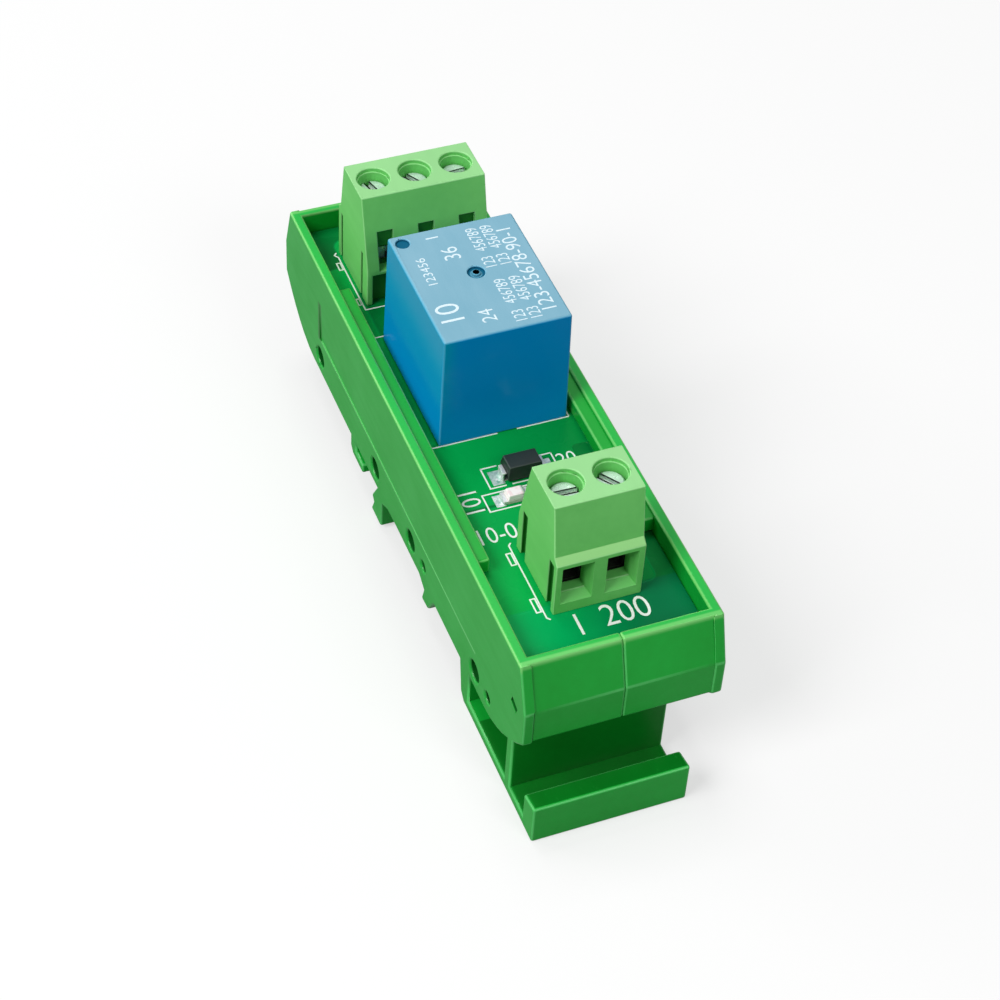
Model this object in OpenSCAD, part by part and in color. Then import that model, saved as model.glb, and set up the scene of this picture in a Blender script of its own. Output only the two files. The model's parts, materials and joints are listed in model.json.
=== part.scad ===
// Relay module board: a one-relay circuit board held in a two-part plastic
// carrier that hooks over a 35 mm mounting rail.
// Lengths are in millimetres. Inside the modules Y runs from the near end
// face of the carrier to the far one, and Z = 0 is the top of the board.

/* [Carrier] */
// Width over both side walls
carrier_w = 23; // [22:0.5:28]
// Length between the two end faces
carrier_len = 80.3; // [80:0.5:95]
// Thickness of the side walls and the rim
wall_t = 1.26; // [1:0.02:1.5]
// Height of the rim above the board
rim_h = 2.64; // [2.3:0.1:4]
// Depth of the side walls below the top of the board
side_drop = 13.6; // [13.4:0.1:16]
// Depth of the end walls below the top of the board
end_drop = 7.9; // [7:0.1:9]
// Distance that each end face leans in from its crease to the rim
end_lean = 1.9; // [1:0.1:2.5]
// Depth of the crease in the end faces below the top of the board
crease_drop = 3.15; // [2.8:0.1:4]
// Setback of the end faces from the edges of the side walls
end_inset = 0.15; // [0.1:0.05:0.3]
// Length of the rounded lower corners of the side walls
corner_run = 10.4; // [8:0.2:12]
// Clearance between the relay and the ledges that hold the board down
ledge_clear = 0.65; // [0.3:0.05:1.2]
// Height of the ledges that hold the board down
ledge_h = 2; // [1.2:0.1:2.2]
// Start of the ledges from the near end face
ledge_start = 17.4; // [10:0.5:25]
// Gap between the end of the ledges and the far end face
ledge_end_gap = 16.7; // [10:0.5:25]
// Depth of the panel step in the side walls
step_t = 0.15; // [0.1:0.05:0.4]
// Depth of the panel step's edge below the top of the board
step_drop = 8.2; // [7:0.1:9]

/* [Tie pegs] */
// Diameter of the pegs that tie the carrier halves together
peg_d = 2.2; // [1.8:0.1:2.4]
// Clearance between a peg and its socket, on the radius
peg_clear = 0.25; // [0.1:0.05:0.3]
// Depth of the peg ends below the outside of the left wall
peg_recess = 1.6; // [0.8:0.1:2]
// Depth of the peg axes below the top of the board
peg_drop = 11.2; // [10.8:0.1:11.2]
// Diameter of the bosses around the pegs
boss_d = 4.4; // [4:0.1:4.6]
// Length of the bosses inside each side wall
boss_len = 3; // [2:0.5:4]
// Diameter of the small core holes in the side walls
core_hole_d = 1.5; // [1:0.1:2]

/* [Rail foot] */
// Width of the mounting rail over its flanges
rail_w = 35; // [35:1:40]
// Thickness of the rail's flanges
rail_t = 1; // [0.8:0.1:1.5]
// Clearance between the rail and its seat
rail_clear = 0.2; // [0.1:0.05:0.4]
// Start of the rail seat from the near end face
rail_start = 18.05; // [17:0.5:22]
// Depth of the foot's base below the top of the board
foot_drop = 19.2; // [18.9:0.1:22]
// Width of the foot across the carrier
foot_w = 18.1; // [14:0.1:19]
// Thickness of the foot's base plate
foot_base_t = 1.3; // [1:0.1:1.6]
// Thickness of the foot's front wall
foot_wall_t = 1.45; // [1:0.05:2]
// Setback of the foot's front wall from the near end face
foot_wall_start = 2.5; // [2:0.1:4]
// Thickness of the latch arm at the rail
arm_t = 2.95; // [2:0.05:3.2]
// Distance that the foot's lip stands out past the near end face
lip_reach = 4.25; // [3:0.25:6]
// Thickness of the foot's lip
lip_t = 2.75; // [2:0.05:3]
// Height of the foot's lip
lip_h = 5.5; // [3:0.1:6.5]
// Width of the hooks that hold the far edge of the rail
hook_w = 3; // [2:0.5:5]
// Width of the lugs that reach into the rail
lug_w = 2.4; // [1.5:0.1:4]

/* [Circuit board] */
// Clearance between the circuit board and each side wall
board_side_gap = 0.09; // [0.05:0.01:0.2]
// Thickness of the circuit board
board_t = 1.6; // [1:0.2:1.6]
// Gap between the board and the rim at its ends
board_end_gap = 0.2; // [0.1:0.1:0.5]
// Sideways offset of the fitted parts on the board
parts_shift = 0.4; // [-0.5:0.1:0.5]
// Length of the pins below the board
pin_tail = 1.5; // [1:0.1:2]
// Width of the pads that the solder sits on
solder_d = 2.2; // [2:0.1:2.6]

/* [Terminal blocks] */
// Distance between neighbouring poles
pole_pitch = 5.08; // [5.08:0.1:5.48]
// Height of the terminal blocks
block_h = 14.4; // [14.4:0.1:16]
// Depth of the terminal blocks at their base
block_depth = 10.5; // [10.5:0.1:11.5]
// Distance of the two-way block from the near end face
near_block_start = 9.57; // [8:0.1:12]
// Distance of the three-way block from the far end face
far_block_gap = 7.8; // [6.5:0.1:10]
// Diameter of the screwdriver wells
well_d = 3.9; // [3.8:0.05:4.1]
// Distance of the well axes from the front of the block
well_from_front = 5; // [4.9:0.05:5.1]
// Width of the wire openings
wire_w = 3.6; // [3.2:0.1:3.8]
// Height of the wire openings
wire_h = 5.25; // [4.5:0.05:5.5]
// Diameter of the clamp screws' heads
head_d = 3.3; // [3:0.1:3.4]
// Diameter of the clamp screws' shanks
shank_d = 2.3; // [2:0.1:2.4]
// Rise of a clamp cage from fully open to closed
cage_travel = 2.4; // [2:0.1:2.5]
// Clearance around each moving clamp cage
cage_clear = 0.15; // [0.1:0.05:0.2]

/* [Relay] */
// Width of the relay's cover at its base
relay_w = 15.5; // [15:0.1:16]
// Length of the relay's cover at its base
relay_len = 19; // [18.8:0.1:20]
// Height of the relay's cover
relay_h = 15.3; // [15.3:0.1:16.5]
// Thickness of the relay's cover
cover_t = 0.7; // [0.5:0.05:0.8]
// Draft of each side of the cover over its height
cover_draft = 0.25; // [0:0.05:0.3]
// Gap between the relay and the three-way block
relay_gap = 6; // [5:0.5:7]
// Air gap between the relay's armature and its pole
air_gap = 0.4; // [0.4:0.05:0.5]
// Gap between the closed contacts
contact_gap = 0.05; // [0.05:0.01:0.1]

/* [Small parts] */
// Room for the small parts between the two-way block and the relay
parts_room = 16.93; // [16:0.1:20]
// Length of the diode's body
diode_len = 4.2; // [3.8:0.1:4.6]
// Width of the diode's body
diode_w = 2.6; // [2.2:0.1:3]
// Height of the diode's body
diode_h = 2.2; // [1.8:0.1:2.4]
// Distance of the diode from the two-way block
diode_from_block = 10.33; // [9.5:0.1:12]
// Length of the indicator lamp
led_len = 3.2; // [2.8:0.1:3.6]
// Width of the indicator lamp
led_w = 1.6; // [1.2:0.1:2]
// Distance of the indicator lamp from the two-way block
led_from_block = 6.88; // [6:0.1:7.2]
// Length of the chip resistor
resistor_len = 2; // [1.6:0.1:2.4]
// Width of the chip resistor
resistor_w = 1.25; // [1:0.05:1.6]
// Distance of the chip resistor from the two-way block
resistor_from_block = 4.33; // [3.5:0.1:6]

/* [Hidden] */
$fn = 48;

// Overlap that joins two shapes of one solid
join = 0.01;
// Reach of a cutter past the face that it opens
past = 1;

// Carrier
half_w = carrier_w / 2;
inner_x = half_w - wall_t;
rim_start = end_lean + wall_t;
rail_end = rail_start + rail_w + 2 * rail_clear;
web_top = 3.6;
web_slope = 1;
shelf_t = 1.4;
ledge_gap = 0.1;
ledge_w = inner_x - abs(parts_shift) - relay_w / 2 - ledge_clear;
peg_places = [13.75, 34.3, 46.6, 66.9];
core_hole_places = [9.8, 30.1];
core_hole_depth = 0.8;
panel_start = 13.8;
panel_end = carrier_len - 13.3;
panel_top = 2.2;
slit = [0.6, 1.7, 0.5];
slit_at = [2.2, 4.6];
slit_turn = 20;

// Rail foot
flange_gap = rail_t + 0.3;
lip_drop = 0.5;
hook_reach = 2.4;
hook_t = 1.2;
nose_reach = 1.1;
nose_inset = 3;
lug_gap = 0.5;

// Circuit board
board_start = rim_start + board_end_gap;
board_len = carrier_len - 2 * board_start;
board_w = 2 * (inner_x - board_side_gap);
pin_end = -(board_t + pin_tail);

// Places along the board: its gaps stretch with the carrier
stretch = (carrier_len - 2 * block_depth - relay_len)
    / (near_block_start + parts_room + relay_gap + far_block_gap);
block_y = [near_block_start * stretch, carrier_len - far_block_gap * stretch];
small_start = block_y[0] + block_depth;
relay_start = small_start + parts_room * stretch;

// Terminal blocks
lip_low = 7.3;
lip = [0.75, 0.7];
front_lean = 1.8;
rear_lean = 2.35;
rear_crease = 5.3;
cavity_w = 4;
cavity_front = 2.4;
cavity_rear = 8.1;
cavity_floor = 1.2;
bar_z = 5.6;
bar_t = 0.8;
bar_w = 2.2;
leg_front = 7.1;
leg_w = 1;
leg_gap = 0.1;
cage_top_t = 1.2;
cage_floor_t = 0.8;
cage_wall = 0.6;
cage_low = cavity_floor + 0.3;
cage_top = bar_z + bar_t + 0.2 + cage_top_t;
cavity_top = cage_top + cage_travel + 0.25;
seat_t = 0.45;
seat_top = cavity_top + seat_t;
head_h = 1.9;
driver_slot = [0.8, 0.75];
well_rim = 0.5;
wire_low = 1.6;
wire_sill = 2.1;
wire_run = 1.1;
wire_inset = 0.45;
rear_window = [1.9, 5];
rear_window_z = 4.9;
rear_slot_h = 2.5;
rear_skin = 0.9;
groove_t = 0.45;
groove_top = 6.7;
undercut = [0.75, 4.4];
// Side grooves as the side that they are in, their start and their width
side_grooves = [[-1, 0.75, 1.2], [-1, block_depth - 2.35, 1.2], [1, 0.9, 0.55],
    [1, block_depth - 2.35, 0.55]];
cage_front = cavity_front + cage_clear;
cage_rear = leg_front - 0.3;

// Relay
relay_x = parts_shift;
relay_y = relay_start + relay_len / 2;
relay_half = relay_len / 2 - cover_t;
base_top = 1.7;
base_lift = 0.3;
yoke_t = 0.9;
yoke_w = 9;
yoke_back_t = 1;
yoke_reach = 2.5;
core_d = 3.2;
pole_d = 6.4;
pole_t = 0.8;
bobbin_w = 10;
bobbin_flange_t = 0.7;
bobbin_sleeve_d = 4.5;
bobbin_bore_d = 3.5;
bobbin_gap = 0.1;
pin_block = [13.4, 1.6];
winding_d = 9.4;
winding_gap = 0.05;
coil_y = -1.3;
pole_top = 11.4;
armature_z = pole_top + air_gap;
armature_t = 0.8;
armature_w = 8.6;
armature_len = 10.2;
leaf_t = 0.2;
leaf_w = 3.2;
leaf_start = -7;
leaf_past = 1;
rivet_d = 0.9;
hinge_y = -7.8;
hinge_gap = 0.1;
contact_y = 6.7;
contact_r = 0.9;
contact_stand = 0.4;
contact_throw = 0.5;
blade_t = 0.3;
blade_x = 5.9;
blade_w = 1;
blade_reach = 1;
pad_w = 1.6;
button_t = 0.35;
coil_pin_at = [6, -5.1];
coil_pin_d = 0.7;
common_pin_y = -7.15;
common_pin = [1, 0.5];
pin_slack = 0.1;
contact_pin_y = contact_y;
mark_depth = 0.3;
ring_y = 0.8;
ring_d = [0.5, 1, 2];
dimple_in = 1.6;
dimple_d = 1.6;

// Small parts
led_x = -2.1;
resistor_x = 4.6;
lead_t = 0.2;
lead_w = 1.5;
lead_reach = 0.45;
lead_foot = 0.9;

// Moves a shape from the carrier's own frame to the part's frame
module placed() {
    translate([0, -(carrier_len - lip_reach) / 2, foot_drop]) children();
}

// Extrudes an outline drawn in Y and Z along X, from x0 over a length
module along_x(x0, length) {
    translate([x0, 0, 0]) rotate([90, 0, 90]) linear_extrude(length) children();
}

// Centres a box on X and Y, from z0 upward
module block(size, z0 = 0) {
    translate([-size.x / 2, -size.y / 2, z0]) cube(size);
}

// Points of the rounded lower corner of a side wall, from its end inward
function corner_points(steps = 6) = [for (k = [0:steps]) let (t = k / steps)
    [corner_run * t, -end_drop - (side_drop - end_drop) * (1 - pow(1 - t, 1.85))]];

// Side wall seen from the side, without the rail features
module side_outline() {
    near = corner_points();
    far = [for (k = [len(near) - 1:-1:0]) [carrier_len - near[k].x, near[k].y]];
    polygon(concat([[end_lean, rim_h], [0, -crease_drop]], near, far,
        [[carrier_len, -crease_drop], [carrier_len - end_lean, rim_h]]));
}

// Hook under the far flange of the rail
module hook_outline() {
    under = -(side_drop + flange_gap);
    low = under - hook_t;
    polygon([[rail_end, past - side_drop], [rail_end, under], [rail_end - hook_reach, under],
        [rail_end - hook_reach - 0.2, low], [rail_end + 1, low], [rail_end + 1.9, low + 0.9],
        [rail_end + 1.9, past - side_drop]]);
}

// Lugs that locate the carrier inside the rail
module lug_outlines() {
    far = rail_end - 5.8;
    near = rail_start + 8.2;
    low = lug_gap - foot_drop;
    polygon([[far - 8.1, past - side_drop], [far - 8.1, -side_drop], [far - 5.7, -side_drop - 0.1],
        [far - 3.5, -side_drop - 1.2], [far - 3.4, low], [far, low], [far - 0.8, low + 1.8],
        [far - 0.2, low + 2.5], [far - 1.8, -side_drop], [far - 1.8, past - side_drop]]);
    polygon([[near, past - side_drop], [near, -side_drop], [near + 1.9, -side_drop - 2.75],
        [near + 4, -side_drop - 2.9], [near + 3.4, -side_drop - 0.9],
        [near + 5, -side_drop], [near + 5, past - side_drop]]);
}

// End wall in section, with its outer face at the near end
module end_wall_outline() {
    polygon([[end_lean + end_inset, rim_h], [end_inset, -crease_drop], [end_inset, -end_drop],
        [wall_t, -end_drop], [wall_t, -web_top - web_slope], [rim_start + 1, -board_t - shelf_t],
        [rim_start + 1, -board_t], [rim_start, -board_t], [rim_start, rim_h]]);
}

// Foot in section: front wall up to a depth, base plate, latch arm and lip
module foot_outline(wall_top) {
    floor_z = -foot_drop;
    base_z = floor_z + foot_base_t;
    wall_rear = foot_wall_start + foot_wall_t;
    arm_front = rail_start - arm_t;
    lip_top = floor_z + lip_h;
    polygon([[-lip_reach, floor_z], [rail_start - 1.75, floor_z], [rail_start - 0.75, floor_z + 1],
        [rail_start, -side_drop], [rail_start, -web_top], [arm_front, -web_top],
        [arm_front, base_z], [wall_rear, base_z], [wall_rear, -wall_top],
        [foot_wall_start, -wall_top], [foot_wall_start, base_z], [lip_t - lip_reach, base_z],
        [lip_t - lip_reach, lip_top - lip_drop], [-lip_reach + 0.5, lip_top], [-lip_reach, lip_top - 0.4]]);
}

// Latch nose that catches the near flange of the rail
module nose_outline() {
    top = -(side_drop + flange_gap);
    low = top - 2.6;
    polygon([[rail_start - 1, top], [rail_start + nose_reach, top],
        [rail_start + nose_reach + 0.2, top - 0.6], [rail_start - 0.6, low], [rail_start - 1, low]]);
}

// Cutter for the sloping step in the outer face of the left wall
module panel_cut() {
    translate([-half_w, 0, 0]) rotate([90, 0, 0]) translate([0, 0, -panel_end])
        linear_extrude(panel_end - panel_start)
            polygon([[-past, -panel_top], [0, -panel_top], [step_t, -step_drop], [-past, -step_drop]]);
}

// Walls, ledge and shelf of one half, drawn on the left side
module half_shell() {
    difference() {
        union() {
            along_x(-half_w, wall_t) side_outline();
            along_x(-half_w, hook_w) hook_outline();
            along_x(-half_w, lug_w) lug_outlines();
            along_x(-half_w + join, half_w - join) end_wall_outline();
            translate([0, carrier_len, 0]) mirror([0, 1, 0])
                along_x(-half_w + join, half_w - join) end_wall_outline();
            translate([-inner_x - join, ledge_start, ledge_gap])
                cube([ledge_w + join, carrier_len - ledge_end_gap - ledge_start, ledge_h]);
            translate([-inner_x - join, rim_start, -board_t - shelf_t])
                cube([ledge_w + join, carrier_len - 2 * rim_start, shelf_t]);
            for (y = peg_places) boss(y);
        }
        panel_cut();
        translate([-half_w - past, slit_at.x, -slit_at.y]) rotate([slit_turn, 0, 0])
            cube([past + slit.x, slit.y, slit.z]);
        for (y = core_hole_places)
            translate([-half_w - past, y, -peg_drop]) rotate([0, 90, 0])
                cylinder(h = past + core_hole_depth, d = core_hole_d);
    }
}

// Boss around a tie peg on the inside of the left wall
module boss(y) {
    translate([-half_w + 0.4, y, -peg_drop]) rotate([0, 90, 0])
        cylinder(h = wall_t - 0.4 + boss_len, d = boss_d);
}

module left_carrier_half() {
    color("limegreen") placed() difference() {
        union() {
            half_shell();
            along_x(-half_w, half_w) foot_outline(web_top);
            along_x(-half_w, foot_w) foot_outline(web_top + web_slope + 0.3);
            along_x(nose_inset - half_w, foot_w - 2 * nose_inset) nose_outline();
        }
        for (y = peg_places)
            translate([-half_w - past, y, -peg_drop]) rotate([0, 90, 0])
                cylinder(h = past + wall_t + boss_len + past, d = peg_d + 2 * peg_clear);
    }
}

module right_carrier_half() {
    color("limegreen") placed() {
        difference() {
            mirror([1, 0, 0]) half_shell();
            for (y = peg_places)
                translate([half_w + past, y, -peg_drop]) rotate([0, -90, 0])
                    cylinder(h = past + 0.9, d = peg_d + 2 * peg_clear);
        }
        for (y = peg_places)
            translate([-half_w + peg_recess, y, -peg_drop]) rotate([0, 90, 0])
                cylinder(h = carrier_w - peg_recess - wall_t - boss_len + join, d = peg_d);
    }
}

// Places of the pins in the board, as [x, y, hole diameter]
function block_pins(poles, front, turn) = [for (k = [0:poles - 1])
    [parts_shift + pole_x(k, poles), front + turn * (leg_front + bar_t / 2), 1.5]];
function relay_pins() = [for (p = [[-coil_pin_at.x, coil_pin_at.y, 1.1],
        [coil_pin_at.x, coil_pin_at.y, 1.1], [0, common_pin_y, 1.4],
        [-blade_x, contact_pin_y, 1.4], [blade_x, contact_pin_y, 1.4]])
    [relay_x + p.x, relay_y + p.y, p[2]]];
function pole_x(k, poles) = (k - (poles - 1) / 2) * pole_pitch;
all_pins = concat(block_pins(2, block_y[0], 1), block_pins(3, block_y[1], -1), relay_pins());

module circuit_board() {
    color("seagreen") placed() difference() {
        translate([0, board_start + board_len / 2, 0])
            block([board_w, board_len, board_t], -board_t);
        for (p = all_pins) translate([p.x, p.y, -board_t - past])
            cylinder(h = board_t + 2 * past, d = p[2]);
    }
}

module solder_joints() {
    color("silver") placed() for (p = all_pins)
        translate([p.x, p.y, 0]) rotate_extrude()
            polygon([[p[2] / 2, -board_t], [solder_d / 2, -board_t], [solder_d / 2 - 0.15, -board_t - 0.3],
                [p[2] / 2 + 0.12, pin_end + 0.3], [p[2] / 2, pin_end + 0.3]]);
}

// Terminal block in section, with its wire side at Y = 0
module block_outline() {
    polygon([[0, 0], [0, lip_low], [lip.x, lip_low + lip.y], [front_lean, block_h],
        [block_depth - rear_lean, block_h], [block_depth, rear_crease], [block_depth, 0]]);
}

// Funnel of one wire opening
module wire_funnel() {
    lintel = wire_low + wire_h - 0.5;
    intersection() {
        along_x(-wire_w / 2, wire_w)
            polygon([[-past, wire_low - 0.8], [wire_run, wire_sill], [wire_run, lintel],
                [-past, lintel + 0.8]]);
        linear_extrude(block_h)
            polygon([[-wire_w / 2 - wire_inset, -past], [wire_w / 2 + wire_inset, -past],
                [wire_w / 2 - wire_inset, wire_run], [wire_inset - wire_w / 2, wire_run]]);
    }
    translate([wire_inset - wire_w / 2, 0, wire_sill])
        cube([wire_w - 2 * wire_inset, cavity_front + join, lintel - wire_sill]);
}

// Hollow of one pole: wire opening, cage cavity, screw well and rear window
module pole_cuts() {
    wire_funnel();
    translate([-cavity_w / 2, cavity_front, cavity_floor])
        cube([cavity_w, cavity_rear - cavity_front, cavity_top - cavity_floor]);
    translate([0, well_from_front, 0]) {
        translate([0, 0, block_h - well_rim]) cylinder(h = past + well_rim, d = well_d);
        translate([0, 0, seat_top]) cylinder(h = block_h - seat_top, d = well_d - 0.3);
        translate([0, 0, cavity_top - join]) cylinder(h = block_h - cavity_top, d = shank_d + 0.4);
    }
    translate([-rear_window.x / 2, cavity_rear + rear_skin, rear_window_z])
        cube([rear_window.x, block_depth, rear_window.y]);
    translate([-rear_window.x / 2, cavity_rear - join, rear_window_z])
        cube([rear_window.x, block_depth, rear_slot_h]);
    translate([-leg_w / 2 - leg_gap, leg_front - leg_gap, -past])
        cube([leg_w + 2 * leg_gap, bar_t + 2 * leg_gap, cavity_floor + past + join]);
}

// Housing of a terminal block, with its wire side at Y = 0
module housing(poles) {
    w = poles * pole_pitch;
    difference() {
        along_x(-w / 2, w) block_outline();
        for (k = [0:poles - 1]) translate([pole_x(k, poles), 0, 0]) pole_cuts();
        translate([undercut.x - w / 2, block_depth - undercut.x, -past])
            cube([w - 2 * undercut.x, past + undercut.x, past + undercut.y]);
        for (g = side_grooves) translate([g[0] * w / 2, g[1], -past])
            translate([g[0] < 0 ? -past : -groove_t, 0, 0])
                cube([past + groove_t, g[2], past + groove_top]);
    }
}

// Puts a terminal block's shapes at the near or the far end of the board
module at_block(far) {
    translate([parts_shift, block_y[far], 0]) rotate([0, 0, far * 180]) children();
}

module two_way_housing() {
    color("yellowgreen") placed() at_block(0) housing(2);
}

module three_way_housing() {
    color("yellowgreen") placed() at_block(1) housing(3);
}

// Contact bar of one pole with its leg through the board
module pole_contact() {
    front = cavity_front + 0.05;
    translate([-bar_w / 2, front, bar_z]) cube([bar_w, leg_front + bar_t - front, bar_t]);
    translate([-leg_w / 2, leg_front, pin_end]) cube([leg_w, bar_t, bar_z - pin_end + join]);
}

module two_way_contacts() {
    color("lightgray") placed() at_block(0)
        for (k = [0:1]) translate([pole_x(k, 2), 0, 0]) pole_contact();
}

module three_way_contacts() {
    color("lightgray") placed() at_block(1)
        for (k = [0:2]) translate([pole_x(k, 3), 0, 0]) pole_contact();
}

// Slotted clamp screw, held by the seat in its well
module clamp_screw(turn = 0) {
    head_z = seat_top + 0.05;
    bevel = 0.2;
    translate([0, well_from_front, 0]) difference() {
        union() {
            translate([0, 0, head_z]) cylinder(h = head_h - bevel, d = head_d);
            translate([0, 0, head_z + head_h - bevel])
                cylinder(h = bevel, d1 = head_d, d2 = head_d - 2 * bevel);
            translate([0, 0, bar_z + bar_t + 0.1])
                cylinder(h = head_z - bar_z - bar_t, d = shank_d);
        }
        rotate([0, 0, turn])
            block([head_d + past, driver_slot.x, past + driver_slot.y], head_z + head_h - driver_slot.y);
    }
}

// Clamp cage that the screw lifts to hold the wire against the contact bar
module clamp_cage() {
    w = cavity_w - 2 * cage_clear;
    d = cage_rear - cage_front;
    sill = cage_low + cage_floor_t;
    difference() {
        translate([-w / 2, cage_front, cage_low]) cube([w, d, cage_top - cage_low]);
        translate([cage_wall - w / 2, cage_front - past, sill])
            cube([w - 2 * cage_wall, d + 2 * past, cage_top - cage_top_t - sill]);
        translate([0, well_from_front, cage_top - cage_top_t - past])
            cylinder(h = cage_top_t + 2 * past, d = shank_d + 0.2);
    }
}

module near_pole(k) {
    placed() at_block(0) translate([pole_x(k, 2), 0, 0]) children();
}

module far_pole(k) {
    placed() at_block(1) translate([pole_x(k, 3), 0, 0]) children();
}

module input_screw_1() { color("gainsboro") near_pole(0) clamp_screw(178); }
module input_screw_2() { color("gainsboro") near_pole(1) clamp_screw(125); }
module output_screw_1() { color("gainsboro") far_pole(0) clamp_screw(5); }
module output_screw_2() { color("gainsboro") far_pole(1) clamp_screw(120); }
module output_screw_3() { color("gainsboro") far_pole(2) clamp_screw(105); }
module input_cage_1() { color("silver") near_pole(0) clamp_cage(); }
module input_cage_2() { color("silver") near_pole(1) clamp_cage(); }
module output_cage_1() { color("silver") far_pole(0) clamp_cage(); }
module output_cage_2() { color("silver") far_pole(1) clamp_cage(); }
module output_cage_3() { color("silver") far_pole(2) clamp_cage(); }

// Puts a shape in the relay's frame, centred on its outline
module in_relay() {
    placed() translate([relay_x, relay_y, 0]) children();
}

// Block whose four sides lean in by the draft from z0 to z1
module drafted(w, l, z0, z1, draft) {
    intersection() {
        along_x(-w / 2, w) polygon([[-l / 2, z0], [l / 2, z0], [l / 2 - draft, z1], [draft - l / 2, z1]]);
        rotate([90, 0, 0]) translate([0, 0, -l / 2]) linear_extrude(l)
            polygon([[-w / 2, z0], [w / 2, z0], [w / 2 - draft, z1], [draft - w / 2, z1]]);
    }
}

module relay_cover() {
    color("steelblue") in_relay() difference() {
        drafted(relay_w, relay_len, 0, relay_h, cover_draft);
        drafted(relay_w - 2 * cover_t, relay_len - 2 * cover_t, -join, relay_h - cover_t, cover_draft);
        translate([0, ring_y, relay_h - mark_depth]) {
            difference() {
                cylinder(h = past, d = ring_d[2]);
                translate([0, 0, -past]) cylinder(h = 3 * past, d = ring_d[1]);
            }
            cylinder(h = past, d = ring_d[0]);
        }
        translate([dimple_in - relay_w / 2, relay_len / 2 - dimple_in, relay_h - mark_depth])
            cylinder(h = past, d = dimple_d);
    }
}

module relay_base() {
    color("darkslateblue") in_relay() difference() {
        block([relay_w - 2 * cover_t - base_lift, 2 * relay_half - base_lift, base_top - base_lift],
            base_lift);
        for (x = [-coil_pin_at.x, coil_pin_at.x]) translate([x, coil_pin_at.y, -past])
            cylinder(h = base_top + 2 * past, d = coil_pin_d + pin_slack);
        translate([0, common_pin_y, 0])
            block([common_pin.x + pin_slack, common_pin.y + pin_slack, base_top + past], 0);
        for (x = [-blade_x, blade_x]) translate([x, contact_pin_y, 0])
            block([blade_t + pin_slack, blade_w + pin_slack, base_top + past], 0);
    }
}

module relay_yoke() {
    rear = hinge_y - hinge_gap;
    color("slategray") in_relay() {
        translate([-yoke_w / 2, rear, base_top]) cube([yoke_w, yoke_reach - rear, yoke_t]);
        translate([-yoke_w / 2, rear, base_top])
            cube([yoke_w, yoke_back_t, armature_z - hinge_gap - base_top]);
        translate([0, common_pin_y, 0])
            block([common_pin.x, common_pin.y, base_top - pin_end + join], pin_end);
    }
}

module relay_core() {
    color("gray") in_relay() translate([0, coil_y, 0]) {
        translate([0, 0, base_top + yoke_t]) cylinder(h = pole_top - base_top - yoke_t, d = core_d);
        translate([0, 0, pole_top - pole_t]) cylinder(h = pole_t, d = pole_d);
    }
}

module relay_bobbin() {
    low = base_top + yoke_t;
    high = pole_top - pole_t - bobbin_gap;
    pin_y = coil_pin_at.y - coil_y;
    color("ivory") in_relay() translate([0, coil_y, 0]) difference() {
        union() {
            block([bobbin_w, bobbin_w, bobbin_flange_t], low);
            block([bobbin_w, bobbin_w, bobbin_flange_t], high - bobbin_flange_t);
            translate([0, 0, low]) cylinder(h = high - low, d = bobbin_sleeve_d);
            translate([0, pin_y, 0]) block([pin_block.x, pin_block.y, bobbin_flange_t], low);
        }
        translate([0, 0, low - past]) cylinder(h = high, d = bobbin_bore_d);
        for (x = [-coil_pin_at.x, coil_pin_at.x]) translate([x, pin_y, low - past])
            cylinder(h = bobbin_flange_t + 2 * past, d = coil_pin_d + pin_slack);
    }
}

module relay_winding() {
    low = base_top + yoke_t + bobbin_flange_t + winding_gap;
    high = pole_top - pole_t - bobbin_gap - bobbin_flange_t - winding_gap;
    color("peru") in_relay() translate([0, coil_y, low]) difference() {
        cylinder(h = high - low, d = winding_d);
        translate([0, 0, -past]) cylinder(h = high, d = bobbin_sleeve_d + 2 * winding_gap);
    }
}

module relay_coil_pins() {
    pin_top = base_top + yoke_t + bobbin_flange_t + 0.5;
    color("silver") in_relay() for (x = [-coil_pin_at.x, coil_pin_at.x])
        translate([x, coil_pin_at.y, pin_end]) cylinder(h = pin_top - pin_end, d = coil_pin_d);
}

// Fixed contact: a pin and blade on one side, and a button over or under the leaf
module fixed_contact(side, blade_z, button_z) {
    translate([side * blade_x, contact_pin_y, 0])
        block([blade_t, blade_w, blade_z + blade_t - pin_end], pin_end);
    translate([side < 0 ? -blade_x : -blade_reach, contact_y - pad_w / 2, blade_z])
        cube([blade_x + blade_reach, pad_w, blade_t]);
    translate([0, contact_y, button_z]) cylinder(h = button_t + join, r = contact_r);
}

module relay_open_contact() {
    top = armature_z + armature_t - contact_stand - contact_throw;
    color("goldenrod") in_relay() fixed_contact(1, top - button_t - blade_t, top - button_t - join);
}

module relay_closed_contact() {
    low = armature_z + armature_t + leaf_t + contact_stand + contact_gap;
    color("goldenrod") in_relay() fixed_contact(-1, low + button_t, low);
}

module relay_armature() {
    color("lightslategray") in_relay() translate([-armature_w / 2, hinge_y - hinge_gap, armature_z])
        cube([armature_w, armature_len, armature_t]);
}

module relay_contact_spring() {
    color("darkgoldenrod") in_relay() difference() {
        translate([-leaf_w / 2, leaf_start, armature_z + armature_t])
            cube([leaf_w, contact_y + leaf_past - leaf_start, leaf_t]);
        translate([0, contact_y, armature_z])
            cylinder(h = armature_t + leaf_t + past, d = rivet_d + pin_slack);
    }
}

module relay_moving_contact() {
    low = armature_z + armature_t - contact_stand;
    color("silver") in_relay() translate([0, contact_y, 0]) {
        translate([0, 0, low]) cylinder(h = contact_stand, r = contact_r);
        translate([0, 0, low]) cylinder(h = 2 * contact_stand + leaf_t, d = rivet_d);
        translate([0, 0, low + contact_stand + leaf_t]) cylinder(h = contact_stand, r = contact_r);
    }
}

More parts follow.
